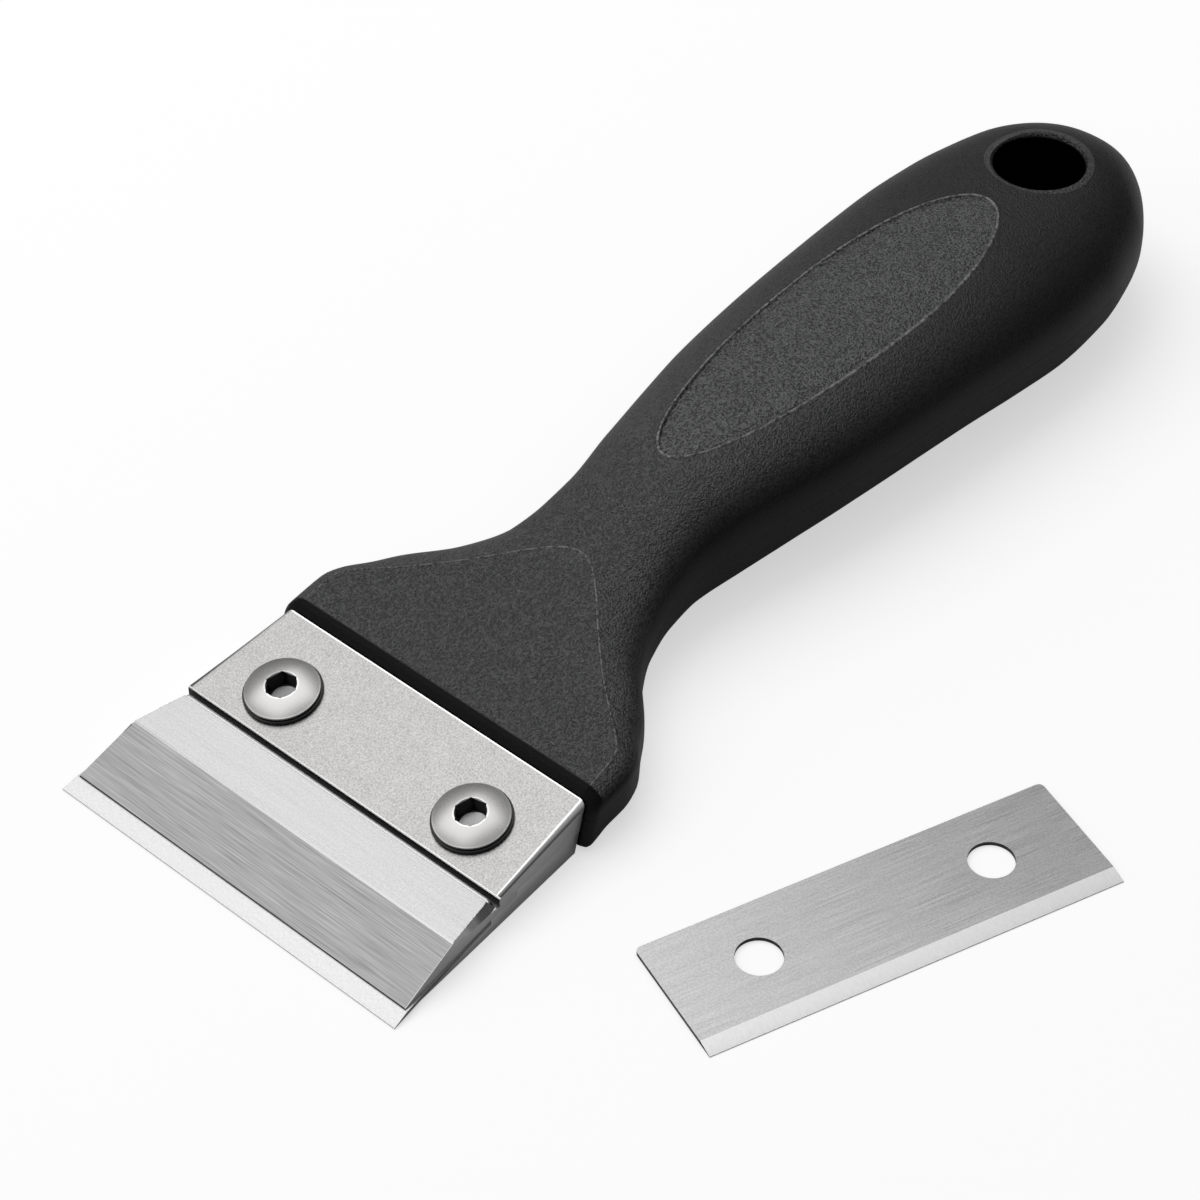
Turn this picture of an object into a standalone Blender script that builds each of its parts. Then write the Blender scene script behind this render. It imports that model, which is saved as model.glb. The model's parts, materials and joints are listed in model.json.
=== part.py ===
"""Hand scraper: a steel head that clamps a 60 mm blade, in a two-part moulded handle.

X runs from the cutting edge to the butt, Y is across the tool and Z is up. The flat underside is at Z = 0.
A value named ..._AT is a distance along X from the cutting edge. The whole tool hangs on one empty, which
puts the origin under the clamp screws.
"""

import math

import bmesh
import bpy
from mathutils import Matrix, Vector

MM = 0.001

# Clearances
GAP = 0.3 * MM
THIN_GAP = 0.15 * MM

# Reach of a cutter that runs right through the tool
THROUGH = 40 * MM

# Blade, and how it lies in the head
BLADE_LENGTH = 60 * MM
BLADE_DEPTH = 19 * MM
BLADE_THICKNESS = 0.6 * MM
BLADE_BEVEL = 2.4 * MM
BLADE_CORNER = 0.8 * MM
BLADE_HOLE = 6.2 * MM
BLADE_HOLE_SPACING = 34 * MM
BLADE_HOLE_FROM_EDGE = 10.6 * MM
SEAT_ANGLE = math.radians(5)
EDGE_LIFT = 0.1 * MM

# Spare blade, lying beside the head
SPARE_AT = 53.6 * MM
SPARE_SIDE = 62.6 * MM
SPARE_TURN = math.radians(-20)

# Carrier, the lower jaw
CARRIER_WIDTH = 58.8 * MM
CARRIER_HEIGHT = 3.3 * MM
HEAD_TAPER = math.radians(4.3)
HEAD_LENGTH = 38.7 * MM
FLANGE_WIDTH = 36 * MM
FLANGE_LENGTH = 12.5 * MM
FLANGE_LIFT = 1.5 * MM

# Front jaw: ground slope, level nose and the lip under the clamp block
NOSE_FRONT_AT = 11.8 * MM
NOSE_BACK_AT = 19.3 * MM
NOSE_HEIGHT = 4.7 * MM
NOSE_STEP = 0.25 * MM
NOSE_ROUND = 0.9 * MM
JAW_EDGE = 0.15 * MM
JAW_END_CHAMFER = 1.1 * MM
GROOVE = 0.7 * MM
LIP_OVERLAP = 3.0 * MM
PIN_IN_JAW = 0.7 * MM
PIN_IN_CARRIER = 0.45 * MM

# Clamp block and its screws
CLAMP_FRONT_HEIGHT = 4.7 * MM
CLAMP_BACK_HEIGHT = 7.6 * MM
CLAMP_INSET = 0.2 * MM
CLAMP_SHOULDER = 0.9 * MM
SCREW_AT = 27.7 * MM
SCREW_SPACING = 34 * MM
SCREW_SHANK = 5.9 * MM
SCREW_HEAD = 10.3 * MM
SCREW_HEAD_HEIGHT = 1.3 * MM
SCREW_HEAD_RIM = 0.45 * MM
SCREW_HEAD_TOP = 5.0 * MM
SCREW_SOCKET = 4.0 * MM
SCREW_SOCKET_DEPTH = 1.4 * MM
SCREW_SOCKET_TURN = math.radians(42)
SCREW_REACH = 5.3 * MM
WASHER_WIDTH = 11.0 * MM
WASHER_THICKNESS = 0.3 * MM

# Tang and its rivets; their places are measured from the back of the head
TANG_THICKNESS = 2.2 * MM
TANG_WIDTH = 14 * MM
TANG_FLARE = 11 * MM
TANG_START = 3.3 * MM
TANG_LENGTH = 110 * MM
RIVET_PLACE = 7.3 * MM
RIVET_SPACING = 24 * MM
RIVET_SHANK = 4.0 * MM
RIVET_HEAD = 7.0 * MM
RIVET_HEAD_HEIGHT = 0.9 * MM

# Handle, outside; places along it are measured from the back of the head
COLLAR_HALF_WIDTH = 28.2 * MM
COLLAR_HEIGHT = 9.0 * MM
COLLAR_LEAN = 0.30
COLLAR_LIP = 1.5 * MM
NECK_PLACE = 38.3 * MM
NECK_HALF_WIDTH = 12.2 * MM
NECK_TOP = 18.6 * MM
GRIP_PLACE = 111.3 * MM
GRIP_HALF_WIDTH = 20.3 * MM
GRIP_TOP = 23.7 * MM
GRIP_HOLLOW = 1.8 * MM
BUTT_HALF_WIDTH = 11.8 * MM
BUTT_TOP = 23.8 * MM
BUTT_LIFT = 3.0 * MM
BUTT_ROUND = 13.8 * MM
HANDLE_END = 146.4 * MM
PANEL_HEIGHT = 8.3 * MM
PANEL_SLOPE = math.radians(13.2)
PANEL_APEX = 27.8 * MM

# Handle, inside, with the same places
WALL = 2.4 * MM
FLOOR = 1.2 * MM
CAVITY_START = 27.3 * MM
RIB_THICKNESS = 1.6 * MM
RIB_PLACES = [43.3 * MM, 69.3 * MM, 87.3 * MM]
BOSS_WIDTH = 7.6 * MM
HOLE_PLACE = 128.8 * MM
HOLE_WIDTH = 13.6 * MM
HOLE_RIM = 1.4 * MM
SHELL_SCREW_SHANK = 3.0 * MM
SHELL_SCREW_HEAD = 5.4 * MM
SHELL_SCREW_HEAD_HEIGHT = 1.7 * MM
SHELL_SCREW_SUNK = 0.5 * MM
SHELL_SCREW_COVER = 2.2 * MM
FRONT_SCREW_PLACE = 6.9 * MM
FRONT_SCREW_SIDE = 22.8 * MM
NECK_SCREW_PLACE = 54.3 * MM
GRIP_SCREW_PLACE = 106.3 * MM

# Grip pad, with the same places
PAD_START = 44.8 * MM
PAD_WIDEST = 87.3 * MM
PAD_END = 116.3 * MM
PAD_HALF_WIDTH = 9.8 * MM
PAD_THICKNESS = 1.1 * MM
PAD_SUNK = 0.25 * MM

# Places that follow from the sizes above
ORIGIN_AT = SCREW_AT
CLAMP_FRONT_AT = NOSE_BACK_AT + NOSE_ROUND + GROOVE
CLAMP_SLOPE = math.atan2(CLAMP_BACK_HEIGHT - CLAMP_FRONT_HEIGHT, HEAD_LENGTH - CLAMP_FRONT_AT)
COLLAR_AT = HEAD_LENGTH + GAP
TANG_FRONT_AT = HEAD_LENGTH + TANG_START
TANG_BACK_AT = TANG_FRONT_AT + TANG_LENGTH
RIVET_AT = HEAD_LENGTH + RIVET_PLACE
NECK_AT = HEAD_LENGTH + NECK_PLACE
GRIP_AT = HEAD_LENGTH + GRIP_PLACE
HANDLE_END_AT = HEAD_LENGTH + HANDLE_END
PANEL_APEX_AT = HEAD_LENGTH + PANEL_APEX
CAVITY_FRONT_AT = HEAD_LENGTH + CAVITY_START
RIBS_AT = [HEAD_LENGTH + place for place in RIB_PLACES]
HOLE_AT = HEAD_LENGTH + HOLE_PLACE
SHELL_SCREWS = {
    "shell_screw_front_left": (HEAD_LENGTH + FRONT_SCREW_PLACE, FRONT_SCREW_SIDE),
    "shell_screw_front_right": (HEAD_LENGTH + FRONT_SCREW_PLACE, -FRONT_SCREW_SIDE),
    "shell_screw_neck": (HEAD_LENGTH + NECK_SCREW_PLACE, 0.0),
    "shell_screw_grip": (HEAD_LENGTH + GRIP_SCREW_PLACE, 0.0),
}
PAD_FRONT_AT = HEAD_LENGTH + PAD_START
PAD_WIDEST_AT = HEAD_LENGTH + PAD_WIDEST
PAD_BACK_AT = HEAD_LENGTH + PAD_END
BLADE_BACK_AT = BLADE_DEPTH * math.cos(SEAT_ANGLE)
BLADE_BACK_TOP = EDGE_LIFT + BLADE_DEPTH * math.sin(SEAT_ANGLE) + BLADE_THICKNESS * math.cos(SEAT_ANGLE)
CARRIER_FRONT_AT = BLADE_BEVEL * math.cos(SEAT_ANGLE)
PIN_WIDTH = BLADE_HOLE - 2 * GAP


def clear_scene():
    for obj in list(bpy.data.objects):
        bpy.data.objects.remove(obj, do_unlink=True)


def material(name, color, roughness, metallic=0.0):
    mat = bpy.data.materials.get(name)
    if mat is None:
        mat = bpy.data.materials.new(name)
        mat.use_nodes = True
        shader = mat.node_tree.nodes["Principled BSDF"]
        shader.inputs["Base Color"].default_value = (*color, 1)
        shader.inputs["Roughness"].default_value = roughness
        shader.inputs["Metallic"].default_value = metallic
    return mat


def blade_steel():
    return material("blade_steel", (0.42, 0.42, 0.43), 0.32, 1.0)


def jaw_steel():
    return material("jaw_steel", (0.60, 0.60, 0.60), 0.36, 1.0)


def beaded_steel():
    return material("beaded_steel", (0.62, 0.62, 0.61), 0.48, 1.0)


def screw_steel():
    return material("screw_steel", (0.58, 0.57, 0.56), 0.25, 1.0)


def dark_steel():
    return material("dark_steel", (0.02, 0.02, 0.02), 0.45, 1.0)


def handle_plastic():
    return material("handle_plastic", (0.022, 0.022, 0.024), 0.5)


def pad_rubber():
    return material("pad_rubber", (0.035, 0.036, 0.038), 0.62)


def finish(bm, name, mat=None, parent=None):
    """Turns a bmesh into an object; one without a material is a cutter."""
    bmesh.ops.recalc_face_normals(bm, faces=bm.faces)
    mesh = bpy.data.meshes.new(name)
    bm.to_mesh(mesh)
    bm.free()
    obj = bpy.data.objects.new(name, mesh)
    bpy.context.collection.objects.link(obj)
    obj.parent = parent
    if mat:
        mesh.materials.append(mat)
        mesh.shade_smooth()
        mesh.set_sharp_from_angle(angle=math.radians(32))
    else:
        obj.hide_render = True
        obj.display_type = "WIRE"
    return obj


def boolean(obj, other, operation="DIFFERENCE"):
    mod = obj.modifiers.new(other.name, "BOOLEAN")
    mod.object = other
    mod.operation = operation
    mod.solver = "EXACT"


def origin_to(obj, point):
    """Moves an object's origin to a point of its parent's space, and leaves its shape in place."""
    obj.data.transform(Matrix.Translation(-Vector(point)))
    obj.location = point


def tilted(point, angle):
    """Placement at a point, with X turned upwards by an angle."""
    return Matrix.Translation(point) @ Matrix.Rotation(-angle, 4, "Y")


def prism(profile, half_width):
    """Side profile of (x, z) points, spread across the tool to a half width that depends on x."""
    bm = bmesh.new()
    left = [bm.verts.new((x, half_width(x), z)) for x, z in profile]
    right = [bm.verts.new((x, -half_width(x), z)) for x, z in profile]
    bm.faces.new(left)
    bm.faces.new(reversed(right))
    for i in range(len(profile)):
        j = (i + 1) % len(profile)
        bm.faces.new((left[j], left[i], right[i], right[j]))
    return bm


def cylinder(name, width, low, high, matrix, parent, top_width=None, sides=24):
    bm = bmesh.new()
    bmesh.ops.create_cone(
        bm,
        cap_ends=True,
        segments=sides,
        radius1=width / 2,
        radius2=(top_width or width) / 2,
        depth=high - low,
        matrix=matrix @ Matrix.Translation((0, 0, (low + high) / 2)),
    )
    return finish(bm, name, parent=parent)


def turned(profile, sides):
    """Solid of revolution about Z from (radius, z) points that start and end on the axis."""
    bm = bmesh.new()
    verts = [bm.verts.new((r, 0, z)) for r, z in profile]
    edges = [bm.edges.new(pair) for pair in zip(verts, verts[1:])]
    bmesh.ops.spin(
        bm,
        geom=verts + edges,
        cent=(0, 0, 0),
        axis=(0, 0, 1),
        angle=2 * math.pi,
        steps=sides,
        use_duplicate=False,
    )
    bmesh.ops.remove_doubles(bm, verts=bm.verts, dist=1e-7)
    return bm


def arc(center, radius, start, end, steps):
    """Points on an arc of the side view, with angles in degrees."""
    points = []
    for i in range(steps + 1):
        angle = math.radians(start + (end - start) * i / steps)
        points.append((center[0] + radius * math.cos(angle), center[1] + radius * math.sin(angle)))
    return points


def along(stations, x):
    """Smooth curve through (x, value) stations, without overshoot between them."""
    if x <= stations[0][0]:
        return stations[0][1]
    if x >= stations[-1][0]:
        return stations[-1][1]
    slopes = [(b[1] - a[1]) / (b[0] - a[0]) for a, b in zip(stations, stations[1:])]
    tangents = [slopes[0]]
    for a, b in zip(slopes, slopes[1:]):
        tangents.append(0.0 if a * b <= 0 else 2 * a * b / (a + b))
    tangents.append(slopes[-1])
    for i, (a, b) in enumerate(zip(stations, stations[1:])):
        if x <= b[0]:
            span = b[0] - a[0]
            t = (x - a[0]) / span
            return (
                (2 * t**3 - 3 * t**2 + 1) * a[1]
                + (t**3 - 2 * t**2 + t) * span * tangents[i]
                + (3 * t**2 - 2 * t**3) * b[1]
                + (t**3 - t**2) * span * tangents[i + 1]
            )


# Head


def seat_height(x):
    """Underside of the blade at x."""
    return EDGE_LIFT + x * math.tan(SEAT_ANGLE)


def head_half_width(x):
    return CARRIER_WIDTH / 2 - (x - CARRIER_FRONT_AT) * math.tan(HEAD_TAPER)


def head_back(z):
    """Back end of the head at a height: it leans with the collar's front face, a gap ahead of it."""
    return COLLAR_AT - GAP + COLLAR_LEAN * (z - COLLAR_HEIGHT)


def flange_top(x):
    return parting_height(x) - TANG_THICKNESS / 2 - GAP


def blade_matrix():
    return tilted((0, 0, EDGE_LIFT), SEAT_ANGLE)


def blade_mesh(name):
    """Blade with its cutting edge on Y and its flat side down."""
    bm = prism(
        [(0, 0), (BLADE_BEVEL, BLADE_THICKNESS), (BLADE_DEPTH, BLADE_THICKNESS), (BLADE_DEPTH, 0)],
        lambda x: BLADE_LENGTH / 2,
    )
    corners = [e for e in bm.edges if all(v.co.x > BLADE_DEPTH - GAP for v in e.verts) and is_upright(e)]
    bmesh.ops.bevel(bm, geom=corners, offset=BLADE_CORNER, segments=2, profile=0.5, affect="EDGES")
    obj = finish(bm, name, blade_steel())
    for side in (1, -1):
        place = Matrix.Translation((BLADE_HOLE_FROM_EDGE, side * BLADE_HOLE_SPACING / 2, 0))
        hole = cylinder(f"{name}_hole_{side}", BLADE_HOLE, -MM, 2 * MM, place, obj)
        boolean(obj, hole)
    return obj


def is_upright(edge):
    return abs((edge.verts[0].co - edge.verts[1].co).normalized().z) > 0.99


def make_blade(root):
    blade = blade_mesh("blade")
    blade.parent = root
    blade.matrix_local = blade_matrix()


def make_spare_blade(root):
    spare = blade_mesh("spare_blade")
    spare.parent = root
    turn = Matrix.Rotation(SPARE_TURN + math.pi / 2, 4, "Z")
    center = Matrix.Translation((-BLADE_DEPTH / 2, 0, 0))
    spare.matrix_local = Matrix.Translation((SPARE_AT, -SPARE_SIDE, 0)) @ turn @ center


def screw_point(side):
    """Where a clamp screw's axis meets the top of the clamp block."""
    height = CLAMP_FRONT_HEIGHT + (SCREW_AT - CLAMP_FRONT_AT) * math.tan(CLAMP_SLOPE)
    return Vector((SCREW_AT, side * SCREW_SPACING / 2, height))


def pin_matrix(side):
    return blade_matrix() @ Matrix.Translation((BLADE_HOLE_FROM_EDGE, side * BLADE_HOLE_SPACING / 2, 0))


def make_carrier(root):
    stop = BLADE_BACK_AT + THIN_GAP
    step = CLAMP_FRONT_AT + LIP_OVERLAP + GAP
    drop = THIN_GAP / math.cos(SEAT_ANGLE)
    flange_end = HEAD_LENGTH + FLANGE_LENGTH
    profile = [
        (CARRIER_FRONT_AT, 0),
        (CARRIER_FRONT_AT, seat_height(CARRIER_FRONT_AT) - drop),
        (stop, seat_height(stop) - drop),
        (stop, BLADE_BACK_TOP),
        (step, BLADE_BACK_TOP),
        (step, CARRIER_HEIGHT),
        (head_back(CARRIER_HEIGHT), CARRIER_HEIGHT),
        (head_back(0), 0),
    ]
    carrier = finish(prism(profile, head_half_width), "carrier", beaded_steel(), root)

    start = head_back(0) - 2 * MM
    flange = finish(
        prism(
            [
                (start, FLANGE_LIFT),
                (start, flange_top(COLLAR_AT)),
                (COLLAR_AT, flange_top(COLLAR_AT)),
                (flange_end, flange_top(flange_end)),
                (flange_end, FLANGE_LIFT),
            ],
            lambda x: FLANGE_WIDTH / 2,
        ),
        "carrier_flange",
        parent=root,
    )
    boolean(carrier, flange, "UNION")
    for side, word in ((1, "left"), (-1, "right")):
        tapped = cylinder(
            f"tapped_hole_{word}",
            SCREW_SHANK + 2 * GAP,
            -THROUGH,
            MM,
            tilted(screw_point(side), CLAMP_SLOPE),
            root,
        )
        boolean(carrier, tapped)
        pin_hole = cylinder(f"pin_hole_{word}", BLADE_HOLE, -3 * MM, MM, pin_matrix(side), root)
        boolean(carrier, pin_hole)
        rivet_place = Matrix.Translation((RIVET_AT, side * RIVET_SPACING / 2, 0))
        rivet_hole = cylinder(
            f"rivet_hole_{word}", RIVET_SHANK + 2 * GAP, 0, THROUGH, rivet_place, root
        )
        boolean(carrier, rivet_hole)


def slope_height(x):
    """Ground slope of the front jaw."""
    start = jaw_underside(jaw_front()) + JAW_EDGE
    end = NOSE_HEIGHT - NOSE_STEP
    return start + (x - jaw_front()) * (end - start) / (NOSE_FRONT_AT - jaw_front())


def jaw_front():
    return BLADE_BEVEL * math.cos(SEAT_ANGLE) + THIN_GAP


def jaw_underside(x):
    return seat_height(x) + (BLADE_THICKNESS + THIN_GAP) / math.cos(SEAT_ANGLE)


def make_front_jaw(root):
    lip_end = CLAMP_FRONT_AT + LIP_OVERLAP
    lip_bottom = jaw_underside(BLADE_BACK_AT)
    nose_corner = (NOSE_BACK_AT, NOSE_HEIGHT - NOSE_ROUND)
    profile = [
        (jaw_front(), jaw_underside(jaw_front())),
        (jaw_front(), slope_height(jaw_front())),
        (NOSE_FRONT_AT, slope_height(NOSE_FRONT_AT)),
        (NOSE_FRONT_AT + NOSE_STEP, NOSE_HEIGHT),
        *arc(nose_corner, NOSE_ROUND, 90, 0, 4),
        (NOSE_BACK_AT + NOSE_ROUND, CARRIER_HEIGHT),
        (lip_end, CARRIER_HEIGHT),
        (lip_end, lip_bottom),
        (BLADE_BACK_AT, lip_bottom),
    ]
    jaw = finish(prism(profile, head_half_width), "front_jaw", jaw_steel(), root)
    for side, word in ((1, "left"), (-1, "right")):
        socket = cylinder(
            f"pin_socket_{word}",
            BLADE_HOLE,
            0,
            BLADE_THICKNESS + THIN_GAP + PIN_IN_JAW + GAP,
            pin_matrix(side),
            root,
        )
        boolean(jaw, socket)
        boolean(jaw, end_chamfer_cutter(f"jaw_chamfer_{word}", side, root))
    origin_to(jaw, (BLADE_HOLE_FROM_EDGE, 0, seat_height(BLADE_HOLE_FROM_EDGE)))


def end_chamfer_cutter(name, side, root):
    """Wedge that takes the jaw's end down from nothing at the nose's front to the chamfer at its back."""
    front = NOSE_FRONT_AT - MM
    back = NOSE_BACK_AT + NOSE_ROUND + GROOVE / 2
    foot = CARRIER_HEIGHT + GAP
    outer = 3 * MM
    rise = 3 * MM
    shift = JAW_END_CHAMFER * (NOSE_HEIGHT + rise - foot) / (NOSE_HEIGHT - foot)
    bm = bmesh.new()
    corners = [
        (front, head_half_width(front), foot),
        (back, head_half_width(back), foot),
        (back, head_half_width(back) - shift, NOSE_HEIGHT + rise),
        (front, head_half_width(front) + GAP, NOSE_HEIGHT + rise),
    ]
    inner = [bm.verts.new((x, side * y, z)) for x, y, z in corners]
    outside = [bm.verts.new((x, side * (head_half_width(front) + outer), z)) for x, _, z in corners]
    bm.faces.new(inner)
    bm.faces.new(reversed(outside))
    for i in range(4):
        j = (i + 1) % 4
        bm.faces.new((inner[i], inner[j], outside[j], outside[i]))
    bmesh.ops.triangulate(bm, faces=bm.faces)
    return finish(bm, name, parent=root)


def make_locating_pin(root, side, word):
    bm = bmesh.new()
    low = -THIN_GAP - PIN_IN_CARRIER
    high = BLADE_THICKNESS + THIN_GAP + PIN_IN_JAW
    bmesh.ops.create_cone(
        bm,
        cap_ends=True,
        segments=24,
        radius1=PIN_WIDTH / 2,
        radius2=PIN_WIDTH / 2,
        depth=high - low,
        matrix=Matrix.Translation((0, 0, (low + high) / 2)),
    )
    pin = finish(bm, f"locating_pin_{word}", dark_steel(), root)
    pin.matrix_local = pin_matrix(side)


def make_clamp_block(root):
    bottom = CARRIER_HEIGHT + THIN_GAP
    profile = [
        (CLAMP_FRONT_AT, bottom),
        (CLAMP_FRONT_AT, CLAMP_FRONT_HEIGHT),
        (head_back(CLAMP_BACK_HEIGHT), CLAMP_BACK_HEIGHT),
        (head_back(bottom), bottom),
    ]
    bm = prism(profile, lambda x: head_half_width(x) - CLAMP_INSET)
    top = max(v.co.z for v in bm.verts)
    shoulders = [
        e
        for e in bm.edges
        if abs((e.verts[0].co - e.verts[1].co).y) < 3 * MM
        and min(v.co.z for v in e.verts) > CLAMP_FRONT_HEIGHT - GAP
        and max(v.co.z for v in e.verts) > top - GAP
    ]
    bmesh.ops.bevel(bm, geom=shoulders, offset=CLAMP_SHOULDER, segments=4, profile=0.5, affect="EDGES")
    clamp = finish(bm, "clamp_block", beaded_steel(), root)
    for side, word in ((1, "left"), (-1, "right")):
        hole = cylinder(
            f"clamp_hole_{word}",
            SCREW_SHANK + 2 * GAP,
            -THROUGH,
            MM,
            tilted(screw_point(side), CLAMP_SLOPE),
            root,
        )
        boolean(clamp, hole)
    center = screw_point(1)
    origin_to(clamp, (center.x, 0, center.z))


def make_screw_washer(root, side, word):
    inner = SCREW_SHANK / 2 + GAP
    outer = WASHER_WIDTH / 2
    low = THIN_GAP
    high = THIN_GAP + WASHER_THICKNESS
    bm = bmesh.new()
    verts = [bm.verts.new((r, 0, z)) for r, z in ((inner, low), (outer, low), (outer, high), (inner, high))]
    edges = [bm.edges.new((verts[i], verts[(i + 1) % 4])) for i in range(4)]
    bmesh.ops.spin(bm, geom=verts + edges, cent=(0, 0, 0), axis=(0, 0, 1), angle=2 * math.pi, steps=32)
    bmesh.ops.remove_doubles(bm, verts=bm.verts, dist=1e-7)
    washer = finish(bm, f"screw_washer_{word}", dark_steel(), root)
    washer.matrix_local = tilted(screw_point(side), CLAMP_SLOPE)


def make_clamp_screw(root, side, word):
    """Button head screw: cylindrical rim, dome, flat top with a hexagon socket."""
    seat = 2 * THIN_GAP + WASHER_THICKNESS
    rim = seat + SCREW_HEAD_RIM
    top = seat + SCREW_HEAD_HEIGHT
    outer = SCREW_HEAD / 2
    inner = SCREW_HEAD_TOP / 2
    shank = SCREW_SHANK / 2
    profile = [(0, -SCREW_REACH), (shank - GAP, -SCREW_REACH), (shank, -SCREW_REACH + GAP)]
    profile += [(shank, seat), (outer, seat)]
    steps = 4
    for i in range(steps + 1):
        angle = i / steps * math.pi / 2
        profile.append((inner + (outer - inner) * math.cos(angle), rim + (top - rim) * math.sin(angle)))
    profile.append((0, top))
    screw = finish(turned(profile, 32), f"clamp_screw_{word}", screw_steel(), root)
    screw.matrix_local = tilted(screw_point(side), CLAMP_SLOPE)
    across_corners = SCREW_SOCKET / math.cos(math.pi / 6)
    turn = Matrix.Rotation(SCREW_SOCKET_TURN, 4, "Z")
    socket = cylinder(
        f"socket_{word}", across_corners, top - SCREW_SOCKET_DEPTH, top + MM, turn, screw, sides=6
    )
    boolean(screw, socket)
    chamfer = cylinder(
        f"socket_chamfer_{word}",
        SCREW_SOCKET,
        top - THIN_GAP,
        top + THIN_GAP,
        Matrix(),
        screw,
        top_width=across_corners + 2 * THIN_GAP,
        sides=24,
    )
    boolean(screw, chamfer)


# Handle


def spread(start, end, shares):
    """Stations between two (x, value) points, from shares of the way in x and in value."""
    return [(start[0] + u * (end[0] - start[0]), start[1] + v * (end[1] - start[1])) for u, v in shares]


def half_width_stations():
    collar = (COLLAR_AT, COLLAR_HALF_WIDTH)
    neck = (NECK_AT, NECK_HALF_WIDTH)
    grip = (GRIP_AT, GRIP_HALF_WIDTH)
    butt = (HANDLE_END_AT, BUTT_HALF_WIDTH)
    flare = [(0.16, 0.01), (0.23, 0.06), (0.32, 0.22), (0.4, 0.35), (0.55, 0.68), (0.71, 0.89), (0.87, 0.983)]
    swell = [(0.12, 0.15), (0.25, 0.36), (0.38, 0.56), (0.56, 0.74), (0.73, 0.86), (0.89, 0.96)]
    taper = [(0.28, 0.08), (0.51, 0.3), (0.76, 0.69)]
    return [
        collar,
        *spread(collar, neck, flare),
        neck,
        *spread(neck, grip, swell),
        grip,
        *spread(grip, butt, taper),
        butt,
    ]


def top_stations():
    """Crown of the handle; over the collar it stands a little proud of the flat panel cut into it."""
    apex = (PANEL_APEX_AT, panel_height(PANEL_APEX_AT))
    neck = (NECK_AT, NECK_TOP)
    grip = (GRIP_AT, GRIP_TOP)
    butt = (HANDLE_END_AT, BUTT_TOP)
    proud = [(0.18, 1.2), (0.4, 1.25), (0.78, 0.6)]
    crown = [(COLLAR_AT + u * (PANEL_APEX_AT - COLLAR_AT), h * MM) for u, h in proud]
    swell = [(0.12, 0.47), (0.25, 0.67), (0.38, 0.81), (0.56, 0.91), (0.73, 0.965)]
    fall = [(0.28, 0.1), (0.51, 0.28), (0.76, 0.58)]
    return [
        (COLLAR_AT, COLLAR_HEIGHT),
        *[(x, panel_height(x) + h) for x, h in crown],
        apex,
        *spread(apex, neck, [(0.5, 0.52)]),
        neck,
        *spread(neck, grip, swell),
        grip,
        *spread(grip, butt, fall),
        butt,
    ]


def bottom_stations():
    """Underside: flat under the collar, hollowed under the grip, rising at the butt."""
    neck = (NECK_AT, 0)
    hollow = (NECK_AT + 0.56 * (GRIP_AT - NECK_AT), GRIP_HOLLOW)
    grip = (GRIP_AT, 0)
    butt = (HANDLE_END_AT, BUTT_LIFT)
    return [
        (COLLAR_AT, 0),
        *spread(neck, hollow, [(-0.3, 0), (0, 0.15), (0.22, 0.25), (0.5, 0.65), (0.75, 0.95)]),
        hollow,
        *spread(hollow, grip, [(0.3, 0.15), (0.7, 0.68)]),
        grip,
        *spread(grip, butt, [(0.28, 0.12), (0.51, 0.4), (0.76, 0.75)]),
        butt,
    ]


def upper_power():
    collar, neck = (COLLAR_AT, 3.3), (NECK_AT, 2.3)
    return [collar, *spread(collar, neck, [(0.32, 0.3), (0.63, 0.8)]), neck]


def lower_power():
    collar, neck = (COLLAR_AT, 7.0), (NECK_AT, 2.5)
    return [collar, *spread(collar, neck, [(0.37, 0.44), (0.68, 0.89)]), neck]


def panel_height(x):
    return PANEL_HEIGHT + (x - COLLAR_AT - COLLAR_LIP) * math.tan(PANEL_SLOPE)


def butt_factor(x):
    """Shrinks the section towards the round end of the handle."""
    start = HANDLE_END_AT - BUTT_ROUND
    if x <= start:
        return 1.0
    return math.sqrt(max(0.0, 1 - ((x - start) / BUTT_ROUND) ** 2))


def parting_height(x):
    return (along(top_stations(), x) + along(bottom_stations(), x)) / 2


def section(x, inset=0.0):
    """Half width, heights above and below the parting line, and the two powers of the section at x."""
    top = along(top_stations(), x)
    bottom = along(bottom_stations(), x)
    shrink = butt_factor(x)
    half = (top - bottom) / 2
    return (
        along(half_width_stations(), x) * shrink - inset,
        half * shrink - inset,
        along(upper_power(), x),
        along(lower_power(), x),
    )


def outside_height(x, y, upper):
    """Height of the handle's outside above or below the point (x, y)."""
    width, half, power_up, power_down = section(x)
    power = power_up if upper else power_down
    share = max(0.0, 1 - (abs(y) / width) ** power) ** (1 / power)
    return parting_height(x) + (half * share if upper else -half * share)


def lean(x, z):
    """Shift along X that makes the collar's front face lean back."""
    fade = min(1.0, max(0.0, (x - COLLAR_AT) / (NECK_AT - COLLAR_AT) * 3))
    smooth = 1 - fade * fade * (3 - 2 * fade)
    return COLLAR_LEAN * smooth * (z - COLLAR_HEIGHT)


def section_points(x, upper, count, inset=0.0, split=0.0):
    """Half of a section, from +Y over the crown to -Y, open at the parting line."""
    width, half, power_up, power_down = section(x, inset)
    power = power_up if upper else power_down
    sign = 1 if upper else -1
    base = parting_height(x) + sign * split
    points = []
    for i in range(count + 1):
        angle = math.pi * i / count
        c, s = math.cos(angle), math.sin(angle)
        reach = 1 / (abs(c) ** power + abs(s) ** power) ** (1 / power)
        z = base + sign * (half - split) * reach * s
        points.append(Vector((x + lean(x, z), width * reach * c, z)))
    return points


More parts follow.
